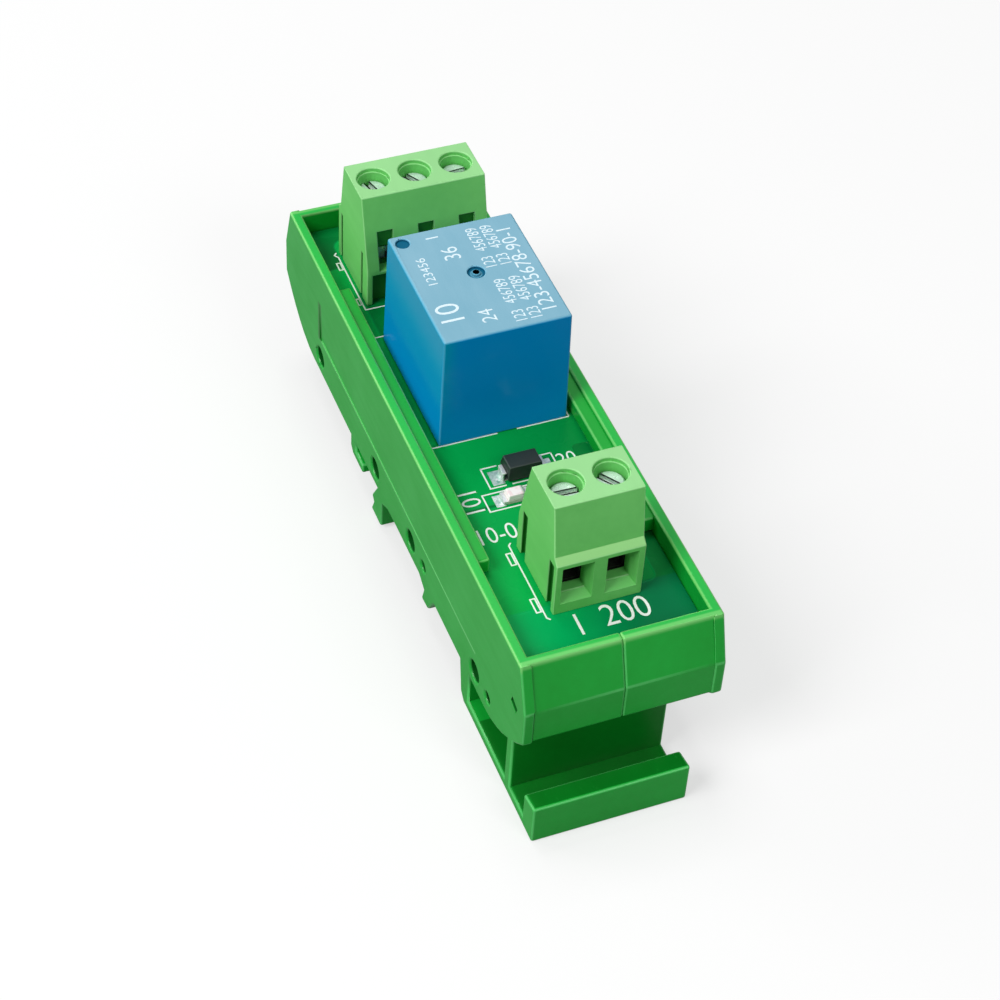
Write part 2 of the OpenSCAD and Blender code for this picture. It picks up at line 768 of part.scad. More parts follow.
// Diode across the coil
module at_diode() {
    placed() translate([0, small_start + diode_from_block * stretch, 0]) children();
}

module diode_body() {
    mid = diode_h / 2;
    color("darkslategray") at_diode() intersection() {
        along_x(-diode_len / 2, diode_len)
            polygon([[0.15 - diode_w / 2, 0.15], [diode_w / 2 - 0.15, 0.15], [diode_w / 2, mid],
                [diode_w / 2 - 0.2, diode_h], [0.2 - diode_w / 2, diode_h], [-diode_w / 2, mid]]);
        rotate([90, 0, 0]) translate([0, 0, -diode_w / 2]) linear_extrude(diode_w)
            polygon([[0.15 - diode_len / 2, 0.15], [diode_len / 2 - 0.15, 0.15], [diode_len / 2, mid],
                [diode_len / 2 - 0.2, diode_h], [0.2 - diode_len / 2, diode_h], [-diode_len / 2, mid]]);
    }
}

module diode_leads() {
    reach = diode_len / 2 + lead_reach;
    color("silver") at_diode() for (side = [-1, 1])
        rotate([90, 0, side < 0 ? 180 : 0]) translate([0, 0, -lead_w / 2]) linear_extrude(lead_w)
            polygon([[diode_len / 2, diode_h / 2 + lead_t / 2], [reach, diode_h / 2 + lead_t / 2],
                [reach, 0], [reach - lead_foot, 0], [reach - lead_foot, 0.12], [reach - lead_t, 0.12],
                [reach - lead_t, diode_h / 2 - lead_t / 2], [diode_len / 2, diode_h / 2 - lead_t / 2]]);
}

// Indicator lamp
module at_lamp() {
    placed() translate([led_x, small_start + led_from_block * stretch, 0]) children();
}

module lamp_base() {
    color("white") at_lamp() block([led_len - 0.9, led_w, 0.5], 0);
}

module lamp_lens() {
    color("mistyrose") at_lamp() drafted(led_len - 1, led_w, 0.5, 1.1, 0.15);
}

module lamp_end_caps() {
    color("silver") at_lamp() for (side = [-1, 1])
        translate([side * (led_len / 2 - 0.225), 0, 0]) block([0.45, led_w, 0.5], 0);
}

// Series resistor of the lamp
module at_resistor() {
    placed() translate([resistor_x, small_start + resistor_from_block * stretch, 0]) children();
}

module resistor_body() {
    color("dimgray") at_resistor() block([resistor_len - 0.7, resistor_w, 0.5], 0);
}

module resistor_end_caps() {
    color("silver") at_resistor() for (side = [-1, 1])
        translate([side * (resistor_len / 2 - 0.175), 0, 0]) block([0.35, resistor_w, 0.5], 0);
}

left_carrier_half();
right_carrier_half();
circuit_board();
solder_joints();
two_way_housing();
two_way_contacts();
three_way_housing();
three_way_contacts();
input_screw_1();
input_screw_2();
output_screw_1();
output_screw_2();
output_screw_3();
input_cage_1();
input_cage_2();
output_cage_1();
output_cage_2();
output_cage_3();
relay_cover();
relay_base();
relay_yoke();
relay_core();
relay_bobbin();
relay_winding();
relay_coil_pins();
relay_open_contact();
relay_closed_contact();
relay_armature();
relay_contact_spring();
relay_moving_contact();
diode_body();
diode_leads();
lamp_base();
lamp_lens();
lamp_end_caps();
resistor_body();
resistor_end_caps();
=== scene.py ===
import json
import math

import bmesh
import bpy
import numpy as np
from mathutils import Matrix, Vector

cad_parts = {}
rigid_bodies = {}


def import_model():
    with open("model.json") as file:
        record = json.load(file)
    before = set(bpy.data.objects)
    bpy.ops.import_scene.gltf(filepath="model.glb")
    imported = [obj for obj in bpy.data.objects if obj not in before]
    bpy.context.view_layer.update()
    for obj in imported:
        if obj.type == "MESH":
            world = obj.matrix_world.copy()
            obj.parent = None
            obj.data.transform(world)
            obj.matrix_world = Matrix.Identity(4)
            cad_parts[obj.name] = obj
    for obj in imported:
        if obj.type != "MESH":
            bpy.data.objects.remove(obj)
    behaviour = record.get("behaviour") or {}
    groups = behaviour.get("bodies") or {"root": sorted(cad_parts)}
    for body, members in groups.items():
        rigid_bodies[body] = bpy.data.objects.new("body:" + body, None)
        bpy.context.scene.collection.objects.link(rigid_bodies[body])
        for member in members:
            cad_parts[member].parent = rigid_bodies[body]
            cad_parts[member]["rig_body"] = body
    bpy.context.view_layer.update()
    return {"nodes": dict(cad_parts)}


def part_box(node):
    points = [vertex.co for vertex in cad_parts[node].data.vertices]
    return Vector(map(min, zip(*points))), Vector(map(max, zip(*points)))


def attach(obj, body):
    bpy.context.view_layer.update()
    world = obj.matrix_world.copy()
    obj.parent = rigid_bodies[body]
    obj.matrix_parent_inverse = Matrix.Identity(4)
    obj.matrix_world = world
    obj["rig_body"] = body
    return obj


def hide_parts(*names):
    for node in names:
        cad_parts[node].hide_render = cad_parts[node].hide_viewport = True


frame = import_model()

# Relay module board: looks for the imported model. Metres, Z up, the two-way block in front.
mm = 0.001
boardLow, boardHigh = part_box("circuit_board")
boardTop = boardHigh.z
relayLow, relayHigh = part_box("relay_cover")
relayX, relayY = (relayLow.x + relayHigh.x) / 2, (relayLow.y + relayHigh.y) / 2
carrierLow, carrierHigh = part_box("right_carrier_half")
nearFace, farFace, wallOut = carrierLow.y, carrierHigh.y, carrierHigh.x

# Each terminal block and its wire side, which faces the near end (turn 1) or the far end (turn -1)
blocks = []
for housing, turn in (("two_way_housing", 1), ("three_way_housing", -1)):
    low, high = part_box(housing)
    blocks.append({"low": low, "high": high, "turn": turn, "wires": low.y if turn > 0 else high.y})
blockTop = blocks[0]["high"].z

# The panel in each side wall, in millimetres along from the near end face and down from the board's top
panel = {"start": 13.8, "arm": 18.2, "end": 67.0, "top": 2.2, "edge": 8.2}


# Small helpers for shader trees, in which a value is another node's output or a plain number

def addNode(tree, kind, **settings):
    made = tree.nodes.new(kind)
    for key, value in settings.items():
        setattr(made, key, value)
    return made


def emptyTree(owner):
    owner.use_nodes = True
    owner.node_tree.nodes.clear()
    return owner.node_tree


def nodeBy(values, kind, **settings):
    # a new node in the tree of the first socket among these values, which feed its first inputs
    tree = next(value.id_data for value in values if isinstance(value, bpy.types.NodeSocket))
    made = addNode(tree, kind, **settings)
    for socket, value in zip(made.inputs, values):
        feed(socket, value)
    return made


def feed(socket, value):
    if isinstance(value, bpy.types.NodeSocket):
        socket.id_data.links.new(value, socket)
    else:
        socket.default_value = value


def calc(operation, *values, clamp=False):
    return nodeBy(values, "ShaderNodeMath", operation=operation, use_clamp=clamp).outputs[0]


def chain(operation, values):
    result = values[0]
    for value in values[1:]:
        result = calc(operation, result, value)
    return result


def product(*values):
    return chain("MULTIPLY", values)


def total(*values):
    return chain("ADD", values)


def largest(*values):
    return chain("MAXIMUM", values)


def vectorCalc(operation, *vectors):
    made = nodeBy(vectors, "ShaderNodeVectorMath", operation=operation)
    return made.outputs["Value" if operation == "LENGTH" else "Vector"]


def axesOf(vector):
    return tuple(nodeBy([vector], "ShaderNodeSeparateXYZ").outputs)


def millimetres(value, zero=0.0, turn=1):
    # a coordinate counted in millimetres from zero, along its axis or, with turn -1, against it
    return product(calc("SUBTRACT", value, zero), turn / mm)


def rangeOf(value, low, high, toLow=0.0, toHigh=1.0, smooth=False):
    kind = "SMOOTHSTEP" if smooth else "LINEAR"
    return nodeBy([value, low, high, toLow, toHigh], "ShaderNodeMapRange", clamp=True,
                  interpolation_type=kind).outputs[0]


def rising(value, span):
    # 0 below the span and 1 above it
    return rangeOf(value, *span)


def falling(value, span):
    # 1 below the span and 0 above it
    return rangeOf(value, *span, 1.0, 0.0)


def bandMask(value, low, high, soft):
    # 1 between low and high, falling to 0 over the soft width on both sides
    return product(rangeOf(value, low - soft, low), rangeOf(value, high, high + soft, 1.0, 0.0))


def mixColour(factor, a, b, blend="MIX"):
    made = nodeBy([factor], "ShaderNodeMix", data_type="RGBA", blend_type=blend, clamp_factor=True)
    for socket, colour in zip(made.inputs[6:8], (a, b)):
        feed(socket, colour if isinstance(colour, bpy.types.NodeSocket) else (*colour, 1.0))
    return made.outputs[2]


def noise(vector, scale, detail=2.0, rough=0.5):
    made = nodeBy([vector], "ShaderNodeTexNoise")
    for label, value in (("Scale", scale), ("Detail", detail), ("Roughness", rough)):
        feed(made.inputs[label], value)
    return made.outputs["Fac"]


def mapped(vector, scale):
    made = nodeBy([vector], "ShaderNodeMapping")
    made.inputs["Scale"].default_value = scale
    return made.outputs[0]


def newGroup(name, inputs, outputs):
    # inputs come with the values they have until a finish sets them, and every output is a plain number
    tree = bpy.data.node_groups.new(name, "ShaderNodeTree")
    for label, value in inputs.items():
        kind = "NodeSocketVector" if isinstance(value, tuple) else "NodeSocketFloat"
        tree.interface.new_socket(label, in_out="INPUT", socket_type=kind).default_value = value
    for label in outputs:
        tree.interface.new_socket(label, in_out="OUTPUT", socket_type="NodeSocketFloat")
    return tree, addNode(tree, "NodeGroupInput").outputs, addNode(tree, "NodeGroupOutput").inputs


def useGroup(group, place, values):
    # the group's first input is the place, and the others go by their names
    made = nodeBy([place], "ShaderNodeGroup", node_tree=group)
    for label, value in values.items():
        feed(made.inputs[label], value)
    return made.outputs


# Effects that several finishes share

skinLook = {
    "slow": 90.0, "streak": 900.0, "scuff": 2600.0, "scuffSpan": (0.7, 0.74), "slowHeight": 0.25,
    "scuffDepth": 0.35, "slowTone": 0.7, "streakTone": 0.3,
}


def mouldedSkinGroup():
    # spark-eroded grain, slow flow marks, faint streaks and a rare scuff, each from noise of its own size
    look = skinLook
    tree, given, out = newGroup("mouldedSkin", {
        "Place": (0, 0, 0), "Grain size": 4000.0, "Grain depth": 0.5,
        "Scuffs": 0.3}, ["Height", "Tone", "Wear"])
    place = given["Place"]
    grain = noise(place, given["Grain size"], 3.0)
    slow = noise(place, look["slow"], 3.0)
    streak = noise(mapped(place, (1.0, 0.12, 1.0)), look["streak"])
    scuffLine = noise(mapped(place, (1.0, 0.05, 2.2)), look["scuff"], 1.0)
    scuff = product(rising(scuffLine, look["scuffSpan"]), given["Scuffs"])
    feed(out["Height"], total(product(grain, given["Grain depth"]), product(slow, look["slowHeight"]),
                              product(scuff, -look["scuffDepth"])))
    feed(out["Tone"], total(product(slow, look["slowTone"]), product(streak, look["streakTone"])))
    feed(out["Wear"], scuff)
    return tree


def padShapeGroup():
    # mask of a box with round corners: 1 inside, falling to 0 over the edge width
    tree, given, out = newGroup("padShape", {
        "Place": (0, 0, 0), "Centre": (0, 0, 0), "Half size": (0.001, 0.001, 0), "Corner": 0.0005,
        "Edge": 0.0001}, ["Mask"])
    away = vectorCalc("ABSOLUTE", vectorCalc("SUBTRACT", given["Place"], given["Centre"]))
    past = axesOf(vectorCalc("SUBTRACT", away, given["Half size"]))
    x, y = (largest(total(side, given["Corner"]), 0.0) for side in past[:2])
    far = calc("SQRT", total(product(x, x), product(y, y)))
    gap = calc("SUBTRACT", far, given["Corner"])
    outside = calc("DIVIDE", gap, given["Edge"], clamp=True)
    feed(out["Mask"], calc("SUBTRACT", 1.0, outside))
    return tree


turningLook = {"speck": 6000.0, "stain": 900.0, "ring": 0.3}


def turnedMarksGroup():
    # rings left by turning, round an upright axis, broken by fine noise
    tree, given, out = newGroup("turnedMarks", {
        "Place": (0, 0, 0), "Axis": (0, 0, 0), "Pitch": 0.0002}, ["Height", "Stain"])
    away = vectorCalc("SUBTRACT", given["Place"], given["Axis"])
    radius = vectorCalc("LENGTH", mapped(away, (1.0, 1.0, 0.0)))
    turns = calc("DIVIDE", radius, given["Pitch"])
    wave = calc("SINE", product(turns, math.tau))
    speck = noise(given["Place"], turningLook["speck"], 3.0)
    feed(out["Height"], total(product(wave, turningLook["ring"]), speck))
    feed(out["Stain"], noise(given["Place"], turningLook["stain"], 4.0, 0.65))
    return tree


mouldedSkin = mouldedSkinGroup()
padShape = padShapeGroup()
turnedMarks = turnedMarksGroup()


def padMask(place, centre, half, corner, soft):
    # centre is x and y in metres, and the other sizes are in millimetres
    return useGroup(padShape, place, {
        "Centre": (*centre, 0.0), "Half size": (half[0] * mm, half[1] * mm, 1.0),
        "Corner": corner * mm, "Edge": soft * mm})["Mask"]


# Finishes

# Noise lies mostly between these two values, so that is the span that a finish spreads over its shades
noiseSpan = (0.3, 0.7)
toneSpan = (0.35, 0.65)


def newFinish(name):
    material = bpy.data.materials.new(name)
    tree = emptyTree(material)
    shader = addNode(tree, "ShaderNodeBsdfPrincipled")
    feed(addNode(tree, "ShaderNodeOutputMaterial").inputs[0], shader.outputs[0])
    place = addNode(tree, "ShaderNodeTexCoord").outputs["Object"]
    return material, shader, place


def dress(shader, colour, roughness, height, look):
    # colour, roughness, gloss, and bumps up to the look's relief in metres
    shader.inputs["Specular IOR Level"].default_value = look["gloss"]
    feed(shader.inputs["Base Color"], colour)
    feed(shader.inputs["Roughness"], roughness)
    bump = addNode(shader.id_data, "ShaderNodeBump")
    bump.inputs["Distance"].default_value = look["relief"]
    feed(bump.inputs["Height"], height)
    feed(shader.inputs["Normal"], bump.outputs[0])


def skinOf(place, look):
    return useGroup(mouldedSkin, place, {"Grain size": look["grain"], "Grain depth": look["depth"],
                                         "Scuffs": look["scuffs"]})


def edgeMask(place, share):
    # the strips of the rounded edges, which the rounded copies mark
    strips = addNode(place.id_data, "ShaderNodeAttribute", attribute_name="roundedEdge")
    return product(strips.outputs["Fac"], share)


# Painted light and shade on the carrier, with their starts and ends in millimetres: in from the outer faces
# of the side walls, along from the near end face, up from the board's top, and across from the left wall's
# outer face
panelLook = {
    "skin": (0.4, 0.5), "line": 0.10, "lineSoft": 0.07, "lineShort": 0.3, "alongSoft": 0.2,
    "slot": 0.48, "slotSoft": 0.1, "slotTop": 0.5, "upSoft": 0.3, "pale": (0.12, 0.54, 0.15),
    "shade": (0.012, 0.20, 0.022),
}
# the slit's and the holes' colours are painted shade, and round the holes the painted edge highlight is
# fainter
openingLook = {
    "slitIn": (0.08, 0.65), "slitAlong": (1.7, 3.8), "slitUp": (-5.0, -3.2),
    "slit": (0.004, 0.15, 0.016), "holeIn": (0.3, 1.7), "holeInSoft": 0.12, "holeAlong": (4.5, 4.6),
    "holeUp": (-12.6, -9.8), "hole": (0.002, 0.10, 0.010), "soft": 0.05, "quietAlong": (8.6, 68.6),
    "quietUp": (-12.8, -9.6), "quietSoft": 0.1, "quietShare": 0.15,
}
# painted light on the rim: its top a brighter green, its edges and its upper edge at both ends pale
# highlights
rimLook = {
    "topUp": (2.5, 2.6), "top": (0.012, 0.44, 0.055), "sideUp": (1.7, 2.1), "pale": (0.20, 0.62, 0.17),
    "highlightIn": (0.02, 0.06), "highlightUp": (2.0, 2.45), "highlightEnd": (2.4, 2.6), "rimHighlight": 0.6,
}
# painted shade, multiplied over the foot under the carrier's end
footLook = {
    "up": (-9.0, -8.4), "across": (0.05, 0.5), "along": (-3.85, 12.0), "alongSoft": 0.1,
    "insideIn": (1.35, 1.5), "aheadAlong": (-0.3, -0.2), "belowUp": (-13.7, -13.6),
    "behindAlong": (2.35, 2.4), "behindAcross": (18.15, 18.2), "shade": (0.25, 0.48, 0.35),
}


def panelMasks(inward, along, up):
    # the panel's lower edge, which catches the light, and the slot at its far end, which lies in shade
    look = panelLook
    edge, end = -panel["edge"], panel["end"]
    outside = falling(inward, look["skin"])
    line = bandMask(up, edge - look["line"], edge + look["line"], look["lineSoft"])
    length = bandMask(along, panel["start"], end - look["lineShort"], look["alongSoft"])
    slot = bandMask(along, end - look["slot"], end + look["slot"], look["slotSoft"])
    height = bandMask(up, edge, -panel["top"] - look["slotTop"], look["upSoft"])
    return product(outside, line, length), product(outside, slot, height)


def openingMasks(inward, along, up):
    # painted shade inside the slit and the holes in the side walls
    look = openingLook
    slitShade = product(bandMask(inward, *look["slitIn"], look["soft"]),
                     bandMask(along, *look["slitAlong"], look["soft"]),
                     bandMask(up, *look["slitUp"], look["soft"]))
    holeShade = product(bandMask(inward, *look["holeIn"], look["holeInSoft"]),
                     rising(along, look["holeAlong"]), bandMask(up, *look["holeUp"], look["soft"]))
    return slitShade, holeShade


def footShadeMask(inward, across, along, up):
    # painted shade on the foot's wall, floor and lip, which lie under the end of the carrier
    look = footLook
    under = product(falling(up, look["up"]), rising(across, look["across"]),
                    bandMask(along, *look["along"], look["alongSoft"]))
    behind = product(rising(along, look["behindAlong"]), falling(across, look["behindAcross"]))
    shaded = largest(falling(up, look["belowUp"]), behind,
                     rising(inward, look["insideIn"]), falling(along, look["aheadAlong"]))
    return product(under, shaded)


def carrierLightAndShade(place, body):
    x, y, z = axesOf(place)
    inward, across = millimetres(calc("ABSOLUTE", x), wallOut, -1), millimetres(x, -wallOut)
    along, up = millimetres(y, nearFace), millimetres(z, boardTop)
    line, slot = panelMasks(inward, along, up)
    slitShade, holeShade = openingMasks(inward, along, up)
    top = rising(up, rimLook["topUp"])
    # painted highlight on the panel's lower edge, painted shade in the slot, the slit and the holes, and
    # painted light on the rim's top
    for mask, colour in ((line, panelLook["pale"]), (slot, panelLook["shade"]),
                         (slitShade, openingLook["slit"]), (holeShade, openingLook["hole"]),
                         (top, rimLook["top"])):
        body = mixColour(mask, body, colour)
    # painted shade over the foot
    foot = footShadeMask(inward, across, along, up)
    body = mixColour(foot, body, footLook["shade"], "MULTIPLY")
    # a painted highlight pales the rim's upper edge at both ends of the carrier
    fromEnd = calc("MINIMUM", along, millimetres(y, farFace, -1))
    rimHighlight = product(rising(inward, rimLook["highlightIn"]), falling(fromEnd, rimLook["highlightEnd"]),
                   rangeOf(up, *rimLook["highlightUp"], 0.0, rimLook["rimHighlight"], True))
    return mixColour(rimHighlight, body, rimLook["pale"])


def carrierEdgeHighlights(place, share, edge):
    # the painted highlight on the rounded edges is faint round the wall holes and palest on the rim
    look = openingLook
    y, z = axesOf(place)[1:]
    up = millimetres(z, boardTop)
    quiet = product(bandMask(millimetres(y, nearFace), *look["quietAlong"], look["quietSoft"]),
                    bandMask(up, *look["quietUp"], look["quietSoft"]))
    share = product(share, rangeOf(quiet, 0.0, 1.0, 1.0, look["quietShare"]))
    return share, mixColour(rising(up, rimLook["sideUp"]), edge, rimLook["pale"])


# Painted light and shade on a terminal block, in millimetres from its wire side, in from its sides and up
# from the board's top. A groove is given as its side, where it starts and how wide it is.
grooves = {"places": [(-1, 0.75, 1.2), (-1, 8.15, 1.2), (1, 0.9, 0.55), (1, 8.15, 0.55)], "depth": 0.45,
           "half": 0.3, "spare": 0.02, "soft": 0.04, "topUp": (6.65, 6.75), "shade": (0.006, 0.13, 0.008)}
lipLook = {
    "out": (-0.1, 0.76), "up": (7.28, 8.02), "inset": 0.05, "soft": 0.03, "colour": (0.28, 0.64, 0.215),
}
rearLook = {
    "undercut": (9.6, 9.9), "undercutUp": (4.35, 4.45), "window": (7.9, 9.06), "windowUp": (4.9, 9.85),
    "windowSoft": 0.04, "inset": 0.6, "soft": 0.05, "shade": (0.010, 0.17, 0.012),
}


def grooveFloors(place, block):
    # the floors of the side grooves lie in shade
    look, turn, masks = grooves, block["turn"], []
    for side, start, width in look["places"]:
        face = block["low"].x if side * turn < 0 else block["high"].x
        centre = (face - side * turn * look["depth"] * mm,
                  block["wires"] + turn * (start + width / 2) * mm)
        half = (look["half"], width / 2 + look["spare"])
        masks.append(padMask(place, centre, half, look["spare"], look["soft"]))
    return masks


def betweenSides(x, block, look):
    inset = look["inset"] * mm
    return bandMask(x, block["low"].x + inset, block["high"].x - inset, look["soft"] * mm)


def lipLight(block, x, out, up):
    # painted light on the slope over the wire openings
    look = lipLook
    return product(betweenSides(x, block, look), bandMask(out, *look["out"], look["soft"]),
                   bandMask(up, *look["up"], look["soft"]))


def rearShade(block, x, out, up):
    # painted shade in the undercut and on the floors of the rear windows
    look = rearLook
    undercut = product(bandMask(out, *look["undercut"], look["soft"]), falling(up, look["undercutUp"]))
    window = product(bandMask(out, *look["window"], look["windowSoft"]),
                     bandMask(up, *look["windowUp"], look["soft"]))
    return product(betweenSides(x, block, look), largest(undercut, window))


def blockLightAndShade(place, body):
    x, y, z = axesOf(place)
    up = millimetres(z, boardTop)
    floors, litSlopes, rears = [], [], []
    for block in blocks:
        out = millimetres(y, block["wires"], block["turn"])
        floors += grooveFloors(place, block)
        litSlopes.append(lipLight(block, x, out, up))
        rears.append(rearShade(block, x, out, up))
    # painted shade on the groove floors and at the rear, and painted light on the slopes
    floor = product(largest(*floors), falling(up, grooves["topUp"]))
    body = mixColour(floor, body, grooves["shade"])
    body = mixColour(largest(*litSlopes), body, lipLook["colour"])
    return mixColour(largest(*rears), body, rearLook["shade"])


plainSkin = {"grain": 5000.0, "depth": 0.4, "relief": 0.00001, "scuffs": 0.1, "gloss": 0.5}
plastics = {
    "carrierPlastic": {
        "colour": (0.005, 0.385, 0.036), "deep": (0.003, 0.33, 0.026), "rough": (0.30, 0.40),
        "grain": 5200.0, "depth": 0.28, "relief": 0.000012, "scuffs": 0.12, "gloss": 0.4,
        "edge": (0.09, 0.55, 0.14), "marks": carrierLightAndShade, "edges": carrierEdgeHighlights,
    },
    "blockPlastic": {
        "colour": (0.155, 0.585, 0.14), "deep": (0.128, 0.525, 0.118), "rough": (0.45, 0.58),
        "grain": 5600.0, "depth": 0.5, "relief": 0.000014, "scuffs": 0.08, "gloss": 0.35,
        "top": (0.28, 0.63, 0.252), "topBelow": (0.08, 0.2), "topDeep": 0.93,
        "edge": (0.30, 0.70, 0.27), "marks": blockLightAndShade,
    },
    "bobbinPlastic": {
        **plainSkin, "colour": (0.72, 0.69, 0.58), "deep": (0.64, 0.60, 0.49), "rough": (0.45, 0.6),
    },
    "basePlastic": {
        **plainSkin, "colour": (0.012, 0.10, 0.24), "deep": (0.008, 0.075, 0.19), "rough": (0.4, 0.52),
    },
    "epoxyBlack": {
        "colour": (0.010, 0.022, 0.018), "deep": (0.005, 0.013, 0.010), "rough": (0.38, 0.55),
        "grain": 9000.0, "depth": 0.8, "relief": 0.000012, "scuffs": 0.2, "gloss": 0.5,
        "edge": (0.05, 0.07, 0.06),
    },
    "lampCeramic": {
        "colour": (0.78, 0.75, 0.70), "deep": (0.66, 0.62, 0.57), "rough": (0.5, 0.65), "grain": 9000.0,
        "depth": 0.5, "relief": 0.000006, "scuffs": 0.0, "gloss": 0.5,
    },
}
# A scuff is a little paler and rougher than the skin round it, and an edge's pale colour, partly wear and
# partly painted highlight, shows over part of its strip
scuffLook = {"gain": 1.5, "lift": 0.04, "share": 0.6, "rough": 0.2}
edgeShare = (0.6, 0.95)


def plasticFinish(name):
    look = plastics[name]
    material, shader, place = newFinish(name)
    skin = skinOf(place, look)
    tone = rising(skin["Tone"], toneSpan)
    body = mixColour(tone, look["deep"], look["colour"])
    if "top" in look:
        # the spark-eroded top faces are matt and painted paler, a painted sheen of the light above
        below = millimetres(axesOf(place)[2], blockTop, -1)
        deepTop = [channel * look["topDeep"] for channel in look["top"]]
        body = mixColour(falling(below, look["topBelow"]), body, mixColour(tone, deepTop, look["top"]))
    if "marks" in look:
        body = look["marks"](place, body)
    # the rounded edges are painted paler: partly edge wear, partly a painted highlight
    if "edge" in look:
        share, edge = rangeOf(skin["Tone"], *noiseSpan, *edgeShare), look["edge"]
        if "edges" in look:
            share, edge = look["edges"](place, share, edge)
        body = mixColour(edgeMask(place, share), body, edge)
    scuffed = [min(1.0, channel * scuffLook["gain"] + scuffLook["lift"]) for channel in look["colour"]]
    colour = mixColour(product(skin["Wear"], scuffLook["share"]), body, scuffed)
    roughness = total(rangeOf(skin["Tone"], *noiseSpan, *reversed(look["rough"])),
                      product(skin["Wear"], scuffLook["rough"]))
    dress(shader, colour, roughness, skin["Height"], look)
    return material


metals = {
    "zincPlate": {"colour": (0.64, 0.80, 0.71), "stain": (0.46, 0.60, 0.53), "rough": (0.22, 0.42),
                  "pitch": 0.00019, "metallic": 0.40, "slot": (0.95, 1.0, 0.97), "slotDown": (0.5, 0.6)},
    "cageSteel": {"colour": (0.16, 0.15, 0.15), "stain": (0.09, 0.08, 0.08), "rough": (0.35, 0.55),
                  "pitch": 0.0009},
    "tinPlate": {"colour": (0.84, 0.85, 0.83), "stain": (0.60, 0.63, 0.61), "rough": (0.24, 0.45),
                 "pitch": 0.0009, "metallic": 0.6},
    # the solder's second shade is a teal green, in patches
    "brightSolder": {"colour": (0.90, 0.92, 0.90), "stain": (0.16, 0.40, 0.32), "rough": (0.22, 0.42),
                     "pitch": 0.0012, "metallic": 0.3},
    "relaySteel": {"colour": (0.56, 0.57, 0.58), "stain": (0.38, 0.39, 0.40), "rough": (0.3, 0.5),
                   "pitch": 0.0011},
    "contactBronze": {"colour": (0.80, 0.58, 0.32), "stain": (0.55, 0.37, 0.19), "rough": (0.25, 0.45),
                      "pitch": 0.001},
}
stainLook = {"span": (0.42, 0.68), "roughSpan": (0.35, 0.7), "relief": 0.000008, "gloss": 0.5}


def metalFinish(kind, name=None, axis=(0.0, 0.0, 0.0), headTop=None):
    look = metals[kind]
    material, shader, place = newFinish(name or kind)
    marks = useGroup(turnedMarks, place, {"Axis": axis, "Pitch": look["pitch"]})
    stain = rising(marks["Stain"], stainLook["span"])
    body = mixColour(stain, look["colour"], look["stain"])
    metallic = look.get("metallic", 1.0)
    if headTop:
        # the slot's floor is painted near white and not metallic, a painted glint
        down = millimetres(axesOf(place)[2], headTop, -1)
        slotGlint = rising(down, look["slotDown"])
        body = mixColour(slotGlint, body, look["slot"])
        metallic = rangeOf(slotGlint, 0.0, 1.0, metallic, 0.0)
    feed(shader.inputs["Metallic"], metallic)
    roughness = rangeOf(marks["Stain"], *stainLook["roughSpan"], *look["rough"])
    dress(shader, body, roughness, marks["Height"], stainLook)
    return material


# A pit in the cover's top is given as its x and y from the cover's middle and its half width
coverLook = {
    "side": (0.0004, 0.212, 0.54), "sideLight": (0.0006, 0.27, 0.445), "lightAcross": (0.1, 2.4),
    "litRise": (0.15, 1.0), "litShare": (0.1, 1.0), "cloud": 0.12, "cloudSize": 160.0,
    "low": (0.0005, 0.29, 0.72), "lowRise": (0.0, 0.45), "lowShare": 0.55,
    "top": (0.22, 0.42, 0.53), "topDeep": (0.18, 0.38, 0.49), "topDown": (0.04, 0.16),
    "pits": [(0.0, 0.8, 1.1), (-6.15, 7.9, 0.85)], "pit": (0.006, 0.11, 0.20), "pitDown": (0.05, 0.15),
    "pitSoft": 0.06,
    "disc": 0.66, "discColour": (0.09, 0.30, 0.42), "discDown": (0.30, 0.34), "discSoft": 0.08,
    "edge": (0.10, 0.42, 0.60), "edgeShare": 0.42, "rough": (0.18, 0.55), "bumps": (0.06, 1.0),
    "relief": 0.00002, "gloss": 0.06, "grain": 5200.0, "depth": 1.0, "scuffs": 0.15,
}


def coverFinish():
    # glossy sides with painted light, lighter towards the left and the top, under a spark-eroded matt top
    # painted pale with the sheen of the light above
    look = coverLook
    material, shader, place = newFinish("coverPlastic")
    x, y, z = axesOf(place)
    down = millimetres(z, relayHigh.z, -1)
    rise = rangeOf(z, relayLow.z, relayHigh.z)

    def roundPad(spot, half, soft):
        return padMask(place, (relayX + spot[0] * mm, relayY + spot[1] * mm), (half, half), half, soft)

    # painted light: the sides are lighter towards the left and towards the top, where the light falls
    paintedLeftLight = rangeOf(millimetres(x, relayLow.x), *look["lightAcross"], 1.0, 0.0, True)
    glow = product(paintedLeftLight, rangeOf(rise, *look["litRise"], *look["litShare"]))
    light = total(glow, product(noise(place, look["cloudSize"]), look["cloud"]))
    side = mixColour(light, look["side"], look["sideLight"])
    # the sides turn a brighter blue towards the bottom
    side = mixColour(rangeOf(rise, *look["lowRise"], look["lowShare"], 0.0, True), side, look["low"])
    skin = skinOf(place, look)
    top = mixColour(rising(skin["Tone"], toneSpan), look["topDeep"], look["top"])
    onTop = falling(down, look["topDown"])
    body = mixColour(onTop, side, top)
    # painted shade darkens the pits inside, and a paler disc stands in the middle of the large one
    pits = largest(*[roundPad(pit, pit[2], look["pitSoft"]) for pit in look["pits"]])
    body = mixColour(product(pits, rising(down, look["pitDown"])), body, look["pit"])
    disc = product(roundPad(look["pits"][0], look["disc"], look["discSoft"]),
                   falling(down, look["discDown"]))
    body = mixColour(disc, body, look["discColour"])
    # painted highlight on the rounded edges
    colour = mixColour(edgeMask(place, look["edgeShare"]), body, look["edge"])
    height = product(skin["Height"], rangeOf(onTop, 0.0, 1.0, *look["bumps"]))
    dress(shader, colour, rangeOf(onTop, 0.0, 1.0, *look["rough"]), height, look)
    return material


